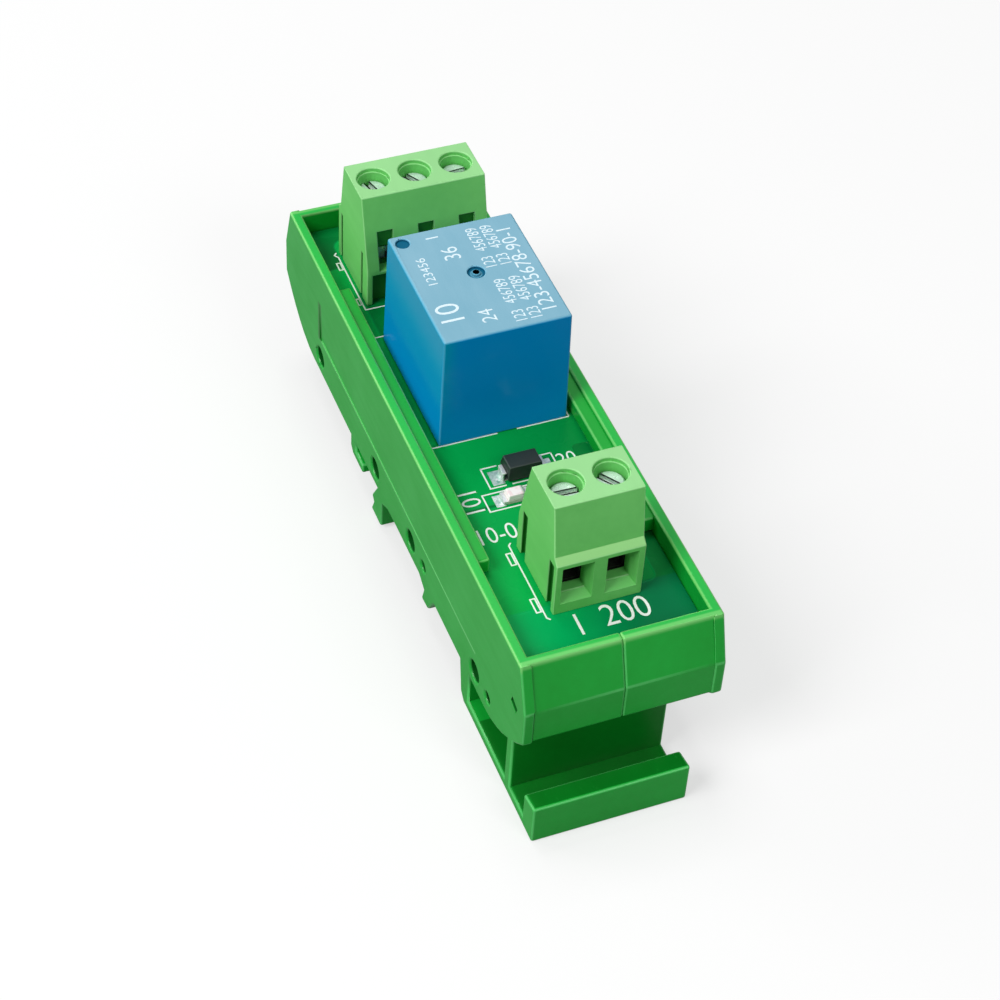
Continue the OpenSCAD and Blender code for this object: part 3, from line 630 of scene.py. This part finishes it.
# Copper under the green mask, as centre x, y, half sizes and corner in millimetres from the near board end
boardLook = {
    "bare": (0.001, 0.15, 0.030), "copper": (0.001, 0.39, 0.072), "front": (0.001, 0.37, 0.095),
    "frontShaded": (0.001, 0.155, 0.055), "edge": (0.004, 0.46, 0.12),
    "pours": [(-0.9, 15.2, 8.8, 7.6, 0.9), (-0.4, 28.6, 9.2, 5.2, 0.5), (-8.4, 50.0, 0.9, 16.0, 0.4),
              (8.6, 42.0, 0.9, 22.0, 0.5), (0.0, 66.0, 7.4, 5.0, 1.2)],
    "clear": [(7.85, 25.9, 0.95, 3.3, 0.5)], "soft": 0.12, "outline": 0.30, "outlineShare": 0.45,
    "paintedLeftLight": (7.0, -6.0), "frontAlong": (7.5, 7.8), "bareShare": 0.25, "copperShare": (0.35, 0.95),
    "flowSize": 140.0, "weaveSize": 3500.0, "weave": 0.10, "weaveHeight": 0.12,
    "rough": (0.20, 0.32), "gloss": 0.08, "relief": 0.00003,
}


def boardFinish():
    look = boardLook
    material, shader, place = newFinish("solderMask")

    def union(shapes, soft):
        return largest(*[padMask(place, (x * mm, boardLow.y + y * mm), (halfX, halfY), corner, soft)
                         for x, y, halfX, halfY, corner in shapes])

    def copper(soft):
        return product(union(look["pours"], soft), calc("SUBTRACT", 1.0, union(look["clear"], soft)))

    pour = copper(look["soft"])
    outline = calc("SUBTRACT", copper(look["outline"]), pour)
    x, y, z = axesOf(place)
    # painted shade: the copper and the front strip darken towards the right, a painted shadow of the light
    # from the left
    paintedLeftLight = rangeOf(millimetres(x), *look["paintedLeftLight"], smooth=True)
    ahead = falling(millimetres(y, boardLow.y), look["frontAlong"])
    bare, green = look["bare"], look["copper"]
    flow = noise(place, look["flowSize"], 3.0)
    weave = noise(mapped(place, (1.0, 1.0, 0.2)), look["weaveSize"])
    ground = mixColour(rangeOf(flow, *noiseSpan, 0.0, look["bareShare"]), bare, green)
    overCopper = product(pour, rangeOf(paintedLeftLight, 0.0, 1.0, *look["copperShare"]))
    ground = mixColour(overCopper, ground, green)
    front = mixColour(paintedLeftLight, look["frontShaded"], look["front"])
    ground = mixColour(ahead, ground, front)
    ground = mixColour(product(outline, look["outlineShare"]), ground, look["edge"])
    colour = mixColour(product(weave, look["weave"]), ground, bare)
    height = total(pour, product(weave, look["weaveHeight"]))
    dress(shader, colour, rangeOf(flow, *noiseSpan, *look["rough"]), height, look)
    return material


inks = {"boardInk": {"colour": (0.86, 0.90, 0.86), "wear": 0.5},
        "coverInk": {"colour": (0.66, 0.80, 0.86), "wear": 0.7}}
inkLook = {"thin": 0.62, "patch": (0.5, 0.75), "patchSize": 3800.0, "rough": (0.45, 0.62),
           "relief": 0.000006, "gloss": 0.5}


def printFinish(name):
    # screen-printed ink: a little thin and broken at this scale
    colour, wear = inks[name]["colour"], inks[name]["wear"]
    material, shader, place = newFinish(name)
    patch = noise(place, inkLook["patchSize"], 4.0, 0.7)
    thin = [channel * inkLook["thin"] for channel in colour]
    shade = mixColour(rangeOf(patch, *inkLook["patch"], 0.0, wear), colour, thin)
    dress(shader, shade, rangeOf(patch, *noiseSpan, *inkLook["rough"]), patch, inkLook)
    return material


windingLook = {
    "deep": (0.55, 0.19, 0.07), "colour": (0.75, 0.33, 0.14), "pitch": 0.12, "patchSize": 1500.0,
    "rough": (0.22, 0.36), "metallic": 0.9, "relief": 0.00003, "gloss": 0.5,
}


def windingFinish():
    # enamelled copper wire, laid in level turns up the coil
    look = windingLook
    material, shader, place = newFinish("windingCopper")
    wave = calc("SINE", product(axesOf(place)[2], math.tau / (look["pitch"] * mm)))
    uneven = noise(place, look["patchSize"], 3.0)
    colour = mixColour(uneven, look["deep"], look["colour"])
    dress(shader, colour, rangeOf(uneven, *noiseSpan, *look["rough"]), wave, look)
    shader.inputs["Metallic"].default_value = look["metallic"]
    return material


resinLook = {
    "pale": (0.90, 0.85, 0.84), "die": (0.84, 0.62, 0.63), "cloud": (0.52, 0.70),
    "mark": (0.05, 0.25, 0.13), "markIn": (0.25, 0.55), "markShare": 0.8, "cloudSize": 1400.0,
    "rough": (0.12, 0.3), "relief": 0.00002, "gloss": 0.5,
}


def resinFinish():
    # clear resin over a pale pink die, with a darker green mark at one end
    look = resinLook
    material, shader, place = newFinish("lampResin")
    cloud = noise(place, look["cloudSize"], 3.0)
    inward = millimetres(axesOf(place)[0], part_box("lamp_lens")[1].x, -1)
    marked = rangeOf(inward, *look["markIn"], look["markShare"], 0.0)
    body = mixColour(rising(cloud, look["cloud"]), look["pale"], look["die"])
    colour = mixColour(marked, body, look["mark"])
    dress(shader, colour, rangeOf(cloud, *noiseSpan, *look["rough"]), cloud, look)
    return material


def screwAxis(node):
    low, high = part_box(node)
    return ((low.x + high.x) / 2, (low.y + high.y) / 2, 0.0)


finishes = {name: plasticFinish(name) for name in plastics}
finishes.update({kind: metalFinish(kind) for kind in metals})
finishes.update({name: printFinish(name) for name in inks})
finishes.update({"coverPlastic": coverFinish(), "solderMask": boardFinish(),
                 "windingCopper": windingFinish(), "lampResin": resinFinish()})
print("finishes:", len(finishes))

finishNodes = {
    "carrierPlastic": ["left_carrier_half", "right_carrier_half"],
    "blockPlastic": ["two_way_housing", "three_way_housing"], "solderMask": ["circuit_board"],
    "coverPlastic": ["relay_cover"], "basePlastic": ["relay_base"], "bobbinPlastic": ["relay_bobbin"],
    "windingCopper": ["relay_winding"], "relaySteel": ["relay_yoke", "relay_core", "relay_armature"],
    "contactBronze": ["relay_open_contact", "relay_closed_contact", "relay_contact_spring"],
    "epoxyBlack": ["diode_body", "resistor_body"], "lampCeramic": ["lamp_base"],
    "lampResin": ["lamp_lens"],
    "tinPlate": [
        "solder_joints", "two_way_contacts", "three_way_contacts", "relay_coil_pins",
        "relay_moving_contact", "diode_leads", "lamp_end_caps", "resistor_end_caps",
    ],
    "cageSteel": [name for name in frame["nodes"] if "_cage_" in name],
}
nodeFinish = {node: finish for finish, nodes in finishNodes.items() for node in nodes}
screwNodes = [name for name in frame["nodes"] if "_screw_" in name]
for name in screwNodes:
    finishes[name] = metalFinish("zincPlate", "turnedZinc_" + name, screwAxis(name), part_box(name)[1].z)
    nodeFinish[name] = name


# Rounded copies of the moulded and turned nodes

# How far each node's edges are rounded, in millimetres
roundings = {
    "left_carrier_half": 0.28, "right_carrier_half": 0.28, "two_way_housing": 0.13,
    "three_way_housing": 0.13, "relay_cover": 0.24, "circuit_board": 0.06, "diode_body": 0.10,
    "lamp_lens": 0.10, "lamp_base": 0.05, "lamp_end_caps": 0.05,
    "resistor_body": 0.05, "resistor_end_caps": 0.05, "diode_leads": 0.05,
}
roundings.update({name: 0.08 for name in screwNodes})
carrierSides = {"left_carrier_half": -1, "right_carrier_half": 1}
# Edges that turn more than least degrees are rounded, and on the carrier halves more than gentle degrees.
# Each may take up the share room of the way to the next edge.
rounding = {
    "least": 30.0, "gentle": 12.0, "sharp": 30.0, "flat": 0.6, "merge": 0.001, "room": 0.42,
    "slant": 0.4, "softer": 2.0, "segments": 3,
}
# Edges that stay crisp and rim edges that are rounder, as boxes to the left and the right: x, y from the
# near end face, z from the board's top, and half sizes, in millimetres
crisp = [(11.5, 3.0, -4.0, 1.2, 1.5, 1.2), (11.5, 40.4, -8.2, 0.5, 3.0, 0.2),
         (11.5, 67.0, -5.2, 0.5, 0.3, 3.3)]
softRims = [(0.0, 1.95, 2.64, 12.0, 0.3, 0.1), (0.0, 78.35, 2.64, 12.0, 0.3, 0.1)]
# The slit is a box turned about the X axis: y and z of its near lower corner, then depth, length and height
slit = {"corner": (2.1, -4.9), "size": (0.6, 1.6, 0.95), "turn": 20.0}
# Where the near end of a wall panel is brought flush, and where the foot lip's slope is and its edge goes
panelFade = {"before": 0.05, "depth": 0.3}
lip = {"back": -3.7, "low": 5.05, "front": -4.25, "top": 5.5}


def placed(boxes):
    return [((side * x * mm, nearFace + y * mm, boardTop + z * mm), (a * mm, b * mm, c * mm))
            for x, y, z, a, b, c in boxes for side in (-1, 1)]


spared = placed(crisp)
softened = placed(softRims)


def newObject(name, data):
    made = bpy.data.objects.new(name, data)
    bpy.context.scene.collection.objects.link(made)
    return made


def finishedMesh(item):
    # the object's mesh with its modifiers applied
    bpy.context.view_layer.update()
    return bpy.data.meshes.new_from_object(item.evaluated_get(bpy.context.evaluated_depsgraph_get()))


def meshOf(shape, name):
    mesh = bpy.data.meshes.new(name)
    shape.to_mesh(mesh)
    return mesh


def roomBeside(edge):
    # shortest way along the edges that leave this one's ends at an angle
    along = (edge.verts[1].co - edge.verts[0].co).normalized()
    room = 1.0
    for vert in edge.verts:
        for other in vert.link_edges:
            if other is edge:
                continue
            way = other.other_vert(vert).co - vert.co
            side = way - along * way.dot(along)
            if side.length > rounding["slant"] * way.length:
                room = min(room, side.length)
    return room


def isIn(edge, boxes):
    middle = (edge.verts[0].co + edge.verts[1].co) / 2
    return any(all(abs(middle[k] - centre[k]) < half[k] for k in range(3)) for centre, half in boxes)


def mergeFaces(shape):
    # double points merged and coplanar triangles joined
    bmesh.ops.remove_doubles(shape, verts=shape.verts, dist=rounding["merge"] * mm)
    bmesh.ops.dissolve_limit(shape, angle_limit=math.radians(rounding["flat"]), verts=shape.verts,
                             edges=shape.edges)


def cutSlit(shape, side):
    # on the left half the slit also goes through the foot's wall behind it
    depth, length, height = (size * mm for size in slit["size"])
    y, z = slit["corner"]
    box = bmesh.new()
    bmesh.ops.create_cube(box, size=1.0, matrix=Matrix.Translation((0.0, 0.5, 0.5)))
    box.transform(Matrix.Translation((side * wallOut, nearFace + y * mm, boardTop + z * mm))
                  @ Matrix.Rotation(math.radians(slit["turn"]), 4, "X")
                  @ Matrix.Diagonal((2 * depth, length, height, 1.0)))
    cutter = newObject("slitBox", meshOf(box, "slitBox"))
    box.free()
    mergeFaces(shape)
    whole = newObject("wholeHalf", meshOf(shape, "wholeHalf"))
    cut = whole.modifiers.new("slit", "BOOLEAN")
    cut.operation = "DIFFERENCE"
    cut.solver = "EXACT"
    cut.object = cutter
    result = finishedMesh(whole)
    shape.clear()
    shape.from_mesh(result)
    for item in (cutter, whole):
        mesh = item.data
        bpy.data.objects.remove(item)
        bpy.data.meshes.remove(mesh)
    bpy.data.meshes.remove(result)


def trimCarrier(shape, side):
    for vert in shape.verts:
        # the near end of each wall panel fades out instead of ending in a step
        along = (vert.co.y - nearFace) / mm
        inward = (wallOut - abs(vert.co.x)) / mm
        if panel["start"] - panelFade["before"] < along < panel["arm"] and inward < panelFade["depth"]:
            vert.co.x = math.copysign(wallOut, vert.co.x)
        # the foot lip's slope becomes one rounded edge
        if along < lip["back"] and vert.co.z > lip["low"] * mm:
            vert.co.y = nearFace + lip["front"] * mm
            vert.co.z = lip["top"] * mm
    cutSlit(shape, side)


def weighEdges(shape, width, least):
    # an outer edge's weight is its rounding as a share of the widest that the bevel can give
    widest = rounding["softer"] * width * mm
    weight = shape.edges.layers.float.new("bevel_weight_edge")
    for edge in shape.edges:
        turn = edge.calc_face_angle_signed(0.0) if edge.is_manifold else 0.0
        if turn > math.radians(least) and not isIn(edge, spared):
            wanted = width * mm if not isIn(edge, softened) else widest
            edge[weight] = min(wanted, rounding["room"] * roomBeside(edge)) / widest
        if abs(turn) > math.radians(rounding["sharp"]):
            edge.smooth = False
    for face in shape.faces:
        face.smooth = True


def wholeNumbers(items, field):
    values = np.empty(len(items), np.int32)
    items.foreach_get(field, values)
    return values


def markStrips(mesh):
    # the faces in the second slot are the rounded strips: the points inside them get the value 1
    strip = wholeNumbers(mesh.polygons, "material_index")
    sides = wholeNumbers(mesh.polygons, "loop_total")
    corner = wholeNumbers(mesh.loops, "vertex_index")
    inside = np.ones(len(mesh.vertices), np.float32)
    np.minimum.at(inside, corner, np.repeat(strip, sides).astype(np.float32))
    mesh.attributes.new("roundedEdge", "FLOAT", "POINT").data.foreach_set("value", inside)
    mesh.polygons.foreach_set("material_index", np.zeros(len(mesh.polygons), np.int32))
    mesh.materials.pop(index=1)


def roundedCopy(node, width):
    # the node's triangles merged into flat faces, and each outer edge rounded as far as it has room
    source = frame["nodes"][node]
    shape = bmesh.new()
    shape.from_mesh(source.data)
    if node in carrierSides:
        trimCarrier(shape, carrierSides[node])
    mergeFaces(shape)
    weighEdges(shape, width, rounding["gentle" if node in carrierSides else "least"])
    mesh = meshOf(shape, node + "_rounded")
    shape.free()
    piece = newObject(node + "_rounded", mesh)
    for slot in range(2):
        mesh.materials.append(finishes[nodeFinish[node]])
    bevel = piece.modifiers.new("rounding", "BEVEL")
    bevel.width = rounding["softer"] * width * mm
    bevel.segments = rounding["segments"]
    bevel.limit_method = "WEIGHT"
    bevel.use_clamp_overlap = False
    bevel.miter_outer = "MITER_ARC"
    bevel.material = 1
    rounded = finishedMesh(piece)
    piece.modifiers.clear()
    piece.data = rounded
    bpy.data.meshes.remove(mesh)
    rounded.name = node + "_rounded"
    markStrips(rounded)
    normals = piece.modifiers.new("flatFaces", "WEIGHTED_NORMAL")
    normals.keep_sharp = True
    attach(piece, source["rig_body"])
    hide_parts(node)
    return piece


for name, node in frame["nodes"].items():
    node.data.materials.clear()
    node.data.materials.append(finishes[nodeFinish[name]])
for name, width in roundings.items():
    roundedCopy(name, width)
print("rounded pieces:", len(roundings))


# Printed lines, pads, solder and numbers

def addPiece(name, mesh, finish):
    mesh.materials.append(finishes[finish])
    piece = newObject(name, mesh)
    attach(piece, "module")
    return piece


def joinedMesh(name, shapes):
    # each shape is its points and its faces
    verts, faces, start = [], [], 0
    for points, loops in shapes:
        verts.append(points)
        faces += [tuple(index + start for index in loop) for loop in loops]
        start += len(points)
    mesh = bpy.data.meshes.new(name)
    mesh.from_pydata(np.vstack(verts).tolist(), [], faces)
    mesh.update()
    return mesh


def lineStrip(path, width, low, high, closed=False):
    # a flat bar carried along a path: at each corner the two sides meet on the mitre
    points = np.asarray(path, float)
    steps = np.roll(points, -1, 0) - points if closed else np.diff(points, axis=0)
    heading = steps / np.linalg.norm(steps, axis=1)[:, None]
    before = np.roll(heading, 1, 0) if closed else np.vstack([heading[:1], heading])
    after = heading if closed else np.vstack([heading, heading[-1:]])
    side = before + after
    side = np.stack([-side[:, 1], side[:, 0]], 1)
    normal = np.stack([-after[:, 1], after[:, 0]], 1)
    side = side / np.sum(side * normal, axis=1)[:, None]
    left, right = points + side * width / 2, points - side * width / 2
    n = len(points)
    ring = np.stack([np.c_[left, np.full(n, low)], np.c_[left, np.full(n, high)],
                     np.c_[right, np.full(n, high)], np.c_[right, np.full(n, low)]], 1)
    faces = []
    for k in range(n if closed else n - 1):
        a, b = 4 * k, 4 * ((k + 1) % n)
        faces += [(a + j, b + j, b + (j + 1) % 4, a + (j + 1) % 4) for j in range(4)]
    if not closed:
        end = 4 * (n - 1)
        faces += [(0, 1, 2, 3), (end + 3, end + 2, end + 1, end)]
    return ring.reshape(-1, 3), faces


def boxPath(x0, y0, x1, y1):
    return [(x0, y0), (x1, y0), (x1, y1), (x0, y1)]


# Lines on the board, in millimetres from the near rim's top edge, which lies start from the near end face
silk = {"width": 0.17, "height": 0.03, "start": 1.9}
rimStart = nearFace + silk["start"] * mm
silkOpen = [
    [(-5.1, 7.15), (-5.42, 7.5), (-5.42, 18.45), (-5.1, 18.8)], [(-8.3, 35.1), (-0.3, 35.1)],
    [(2.05, 35.1), (8.4, 35.1)], [(-8.3, 35.1), (-8.3, 36.2)], [(8.4, 35.1), (8.4, 36.2)],
    [(-8.4, 54.5), (8.5, 54.5)], [(-8.4, 54.5), (-8.4, 53.4)], [(8.5, 54.5), (8.5, 53.4)],
    [(8.2, 59.5), (-7.6, 59.5), (-7.6, 69.5), (-7.95, 70.0), (-7.6, 70.4)],
    [(-4.2, 30.3), (-4.2, 27.1), (-2.3, 27.1)], [(-4.2, 30.3), (-2.3, 30.3)],
    [(4.2, 30.3), (4.2, 27.1), (2.3, 27.1)], [(4.2, 30.3), (2.3, 30.3)], [(-1.6, 27.1), (1.6, 27.1)],
]
silkClosed = [
    boxPath(-6.17, 15.65, -5.62, 17.39), boxPath(-6.15, 8.49, -5.62, 10.45),
    boxPath(-8.2, 67.2, -7.75, 68.5), boxPath(-8.1, 60.5, -7.7, 61.6),
    boxPath(-5.5, 23.8, 1.6, 26.4), boxPath(3.0, 21.2, 6.2, 23.9),
]


def onBoard(points, width, height, closed=False):
    path = [(x * mm, y * mm + rimStart) for x, y in points]
    return lineStrip(path, width * mm, boardTop, boardTop + height * mm, closed)


shapes = [onBoard(path, silk["width"], silk["height"]) for path in silkOpen]
shapes += [onBoard(path, silk["width"], silk["height"], True) for path in silkClosed]
addPiece("silk_lines", joinedMesh("silk_lines", shapes), "boardInk")

# Solder lands under the small parts: centre x, y, width, length, placed as the lines are
lands = {"height": 0.035, "places": [
    (-3.0, 28.5, 1.4, 2.2), (3.0, 28.5, 1.4, 2.2), (-4.0, 25.05, 1.1, 1.8), (-0.4, 25.05, 1.1, 1.8),
    (3.75, 22.5, 0.9, 1.4), (5.45, 22.5, 0.9, 1.4)]}
shapes = [onBoard([(x - w / 2, y), (x + w / 2, y)], l, lands["height"]) for x, y, w, l in lands["places"]]
addPiece("solder_lands", joinedMesh("solder_lands", shapes), "brightSolder")

# Solder at a part's ends: node, side, reach out of the end and height
fillets = {
    "places": [
        ("diode_leads", -1, 0.7, 0.55), ("diode_leads", 1, 0.7, 0.55), ("lamp_end_caps", -1, 0.55, 0.5),
        ("lamp_end_caps", 1, 0.45, 0.5), ("resistor_end_caps", -1, 0.4, 0.35),
        ("resistor_end_caps", 1, 0.4, 0.35),
    ],
    "share": 0.95, "narrows": 0.25, "ripple": 0.12, "waves": (7.0, 2.0), "under": 0.05, "base": 0.03,
    "thick": 0.01, "steps": 10,
}


def solderFillet(node, side, reach, height):
    # a concave wedge at a piece's end: its height falls with the square of the way out, and at both sides
    look = fillets
    low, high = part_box(node)
    steps = look["steps"]
    out, across = np.meshgrid(np.linspace(0.0, 1.0, steps), np.linspace(-1.0, 1.0, 2 * steps),
                              indexing="ij")
    x = (low.x if side < 0 else high.x) + side * (out * reach - look["under"]) * mm
    halfWidth = (high.y - low.y) / 2 * look["share"]
    y = (low.y + high.y) / 2 + across * halfWidth * (1.0 - look["narrows"] * out)
    ripple = 1.0 + look["ripple"] * np.sin(look["waves"][0] * across + look["waves"][1] * out)
    base = boardTop + look["base"] * mm
    z = base + height * mm * (1.0 - out) ** 2 * (1.0 - across ** 4) * ripple
    top = np.stack([x, y, z], -1).reshape(-1, 3)
    floor = np.stack([x, y, np.full_like(z, base - look["thick"] * mm)], -1).reshape(-1, 3)
    rows, columns = out.shape
    quads = (np.arange(rows - 1)[:, None] * columns + np.arange(columns - 1)).reshape(-1, 1)
    quads = quads + np.array([0, columns, columns + 1, 1])
    # the grid's outline, once round: along the first row, down the last column and back
    rim = np.concatenate([np.arange(columns), np.arange(1, rows) * columns + columns - 1,
                          (rows - 1) * columns + np.arange(columns - 2, -1, -1),
                          np.arange(rows - 2, 0, -1) * columns])
    after = np.roll(rim, -1)
    count = rows * columns
    walls = np.stack([rim, after, after + count, rim + count], 1)
    faces = np.vstack([quads, quads[:, ::-1] + count, walls[:, ::-1]])
    return np.vstack([top, floor]), (faces if side > 0 else faces[:, ::-1]).tolist()


solder = joinedMesh("solder_fillets", [solderFillet(*item) for item in fillets["places"]])
solder.polygons.foreach_set("use_smooth", np.ones(len(solder.polygons), bool))
addPiece("solder_fillets", solder, "brightSolder")

# The numbers reach thick above and below their middle, which lies a lift above the board or the cover
figures = {
    "thick": 0.012, "boardLift": 0.013, "coverLift": 0.002, "thin": 0.006, "curve": 4, "merge": 0.0005,
}


def numbers(name, origin, rows, finish):
    # plain numbers, made flat and joined: each row has words, x, y, size, turn in degrees and stretch
    look = figures
    shape = bmesh.new()
    for words, x, y, size, turn, stretch in rows:
        curve = bpy.data.curves.new(name, "FONT")
        curve.body = words
        curve.size = size * mm
        curve.extrude = look["thick"] * mm
        curve.offset = -curve.size * look["thin"]
        curve.align_x = "CENTER"
        curve.align_y = "CENTER"
        curve.resolution_u = look["curve"]
        item = newObject(name, curve)
        mesh = finishedMesh(item)
        place = Vector(origin) + Vector((x, y, 0.0)) * mm
        mesh.transform(Matrix.Translation(place) @ Matrix.Rotation(math.radians(turn), 4, "Z")
                       @ Matrix.Diagonal((stretch, 1.0, 1.0, 1.0)))
        bpy.data.objects.remove(item)
        shape.from_mesh(mesh)
        bpy.data.meshes.remove(mesh)
    bmesh.ops.remove_doubles(shape, verts=shape.verts, dist=look["merge"] * mm)
    mesh = meshOf(shape, name)
    shape.free()
    return addPiece(name, mesh, finish)


numbers("board_numbers", (0.0, rimStart, boardTop + figures["boardLift"] * mm), [
    ("1", -2.55, 5.4, 4.4, 0.0, 0.8), ("200", 2.9, 5.65, 4.3, 0.0, 0.88),
    ("101", -7.1, 25.8, 3.2, -90.0, 0.9), ("10-0", -6.15, 20.4, 3.4, 0.0, 0.8),
    ("20", 5.6, 28.9, 2.6, 0.0, 0.9),
], "boardInk")
numbers("cover_numbers", (relayX, relayY, relayHigh.z + figures["coverLift"] * mm), [
    ("123-45678-90-1", 5.6, -0.3, 2.55, 90.0, 0.92),
    ("123", 3.75, -7.5, 2.0, 90.0, 0.72), ("456789", 3.75, -3.2, 2.0, 90.0, 0.72),
    ("123", 3.8, 1.9, 2.0, 90.0, 0.72), ("456789", 3.8, 6.0, 2.0, 90.0, 0.7),
    ("123", 2.0, -7.5, 2.0, 90.0, 0.72), ("456789", 2.0, -3.2, 2.0, 90.0, 0.72),
    ("123", 2.05, 1.9, 2.0, 90.0, 0.72), ("456789", 2.05, 6.0, 2.0, 90.0, 0.7),
    ("1", -2.6, 7.8, 2.2, 90.0, 1.0), ("123456", -5.2, 2.4, 1.6, 90.0, 1.05),
    ("10", -5.1, -5.0, 4.0, 90.0, 0.95), ("24", -1.3, -6.4, 2.5, 90.0, 0.9),
    ("36", -1.5, 4.6, 2.8, 90.0, 0.85),
], "coverInk")
print("printed lines and numbers done")


# Stand, lights and camera

stand = {"size": 2.4, "colour": (0.32, 0.32, 0.32), "lift": 0.60}


def paleFloor():
    # paper that the camera sees paler than it lights the board
    half = stand["size"] / 2
    mesh = bpy.data.meshes.new("floor")
    mesh.from_pydata([(-half, -half, 0), (half, -half, 0), (half, half, 0), (-half, half, 0)], [],
                     [(0, 1, 2, 3)])
    material = bpy.data.materials.new("floorPaper")
    tree = emptyTree(material)
    paper = addNode(tree, "ShaderNodeBsdfDiffuse")
    paper.inputs["Color"].default_value = (*stand["colour"], 1.0)
    glow = addNode(tree, "ShaderNodeEmission")
    seen = addNode(tree, "ShaderNodeLightPath")
    feed(glow.inputs["Strength"], product(seen.outputs["Is Camera Ray"], stand["lift"]))
    both = nodeBy([paper.outputs[0], glow.outputs[0]], "ShaderNodeAddShader")
    feed(addNode(tree, "ShaderNodeOutputMaterial").inputs[0], both.outputs[0])
    mesh.materials.append(material)
    newObject("floor", mesh)


worldLook = {"colour": (1.0, 1.0, 1.0), "fill": 0.28}


def paleWorld():
    # white where the camera sees it, straight or through clear parts, and a weak fill light elsewhere
    world = bpy.data.worlds.new("paleRoom")
    bpy.context.scene.world = world
    tree = emptyTree(world)
    sky = addNode(tree, "ShaderNodeBackground")
    sky.inputs["Color"].default_value = (*worldLook["colour"], 1.0)
    seen = addNode(tree, "ShaderNodeLightPath")
    plain = largest(seen.outputs["Is Camera Ray"], seen.outputs["Is Transmission Ray"])
    feed(sky.inputs["Strength"], rangeOf(plain, 0.0, 1.0, worldLook["fill"], 1.0))
    feed(addNode(tree, "ShaderNodeOutputWorld").inputs[0], sky.outputs[0])


# Each lamp: where it stands, how wide, and how strong
lamps = {
    "key": {"place": (-0.62, -0.15, 0.70), "size": (0.45, 0.45), "power": 6.4},
    "back": {"place": (0.0, 0.40, 0.87), "size": (0.4, 0.3), "power": 2.6},
    "front": {"place": (0.24, -0.72, 0.66), "size": (0.35, 0.25), "power": 2.1},
    "edge": {"place": (-0.72, 0.60, 0.32), "size": (0.4, 0.2), "power": 2.2},
}
aim = Vector((0.0, 0.0, 0.02))


def softLamp(name, place, size, power):
    light = bpy.data.lights.new(name, "AREA")
    light.shape = "RECTANGLE"
    light.size, light.size_y = size
    light.energy = power
    lamp = newObject(name, light)
    lamp.location = place
    lamp.rotation_euler = (aim - Vector(place)).to_track_quat("-Z", "Y").to_euler()


# The camera's angles in degrees, its lens and sensor in millimetres, its place and its reach in metres
view = {"azimuth": -23.87, "elevation": 45.73, "roll": 3.77, "lens": 90.0, "sensor": 36.0,
        "place": (-0.08139, -0.18619, 0.21583), "reach": (0.005, 20.0)}


def photoCamera():
    a, e, r = (math.radians(view[key]) for key in ("azimuth", "elevation", "roll"))
    back = Vector((math.sin(a) * math.cos(e), -math.cos(a) * math.cos(e), math.sin(e)))
    right = (-back).cross(Vector((0, 0, 1))).normalized()
    up = right.cross(-back)
    rolled = [math.cos(r) * right + math.sin(r) * up, math.cos(r) * up - math.sin(r) * right, back]
    lens = bpy.data.cameras.new("photoCamera")
    lens.lens, lens.sensor_width, lens.sensor_fit = view["lens"], view["sensor"], "HORIZONTAL"
    lens.clip_start, lens.clip_end = view["reach"]
    camera = newObject("photoCamera", lens)
    camera.matrix_world = Matrix.Translation(view["place"]) @ Matrix(rolled).transposed().to_4x4()
    bpy.context.scene.camera = camera


paleFloor()
paleWorld()
for name, lamp in lamps.items():
    softLamp(name, **lamp)
photoCamera()
bpy.context.scene.view_settings.view_transform = "Standard"
print("stand, lights and camera done")
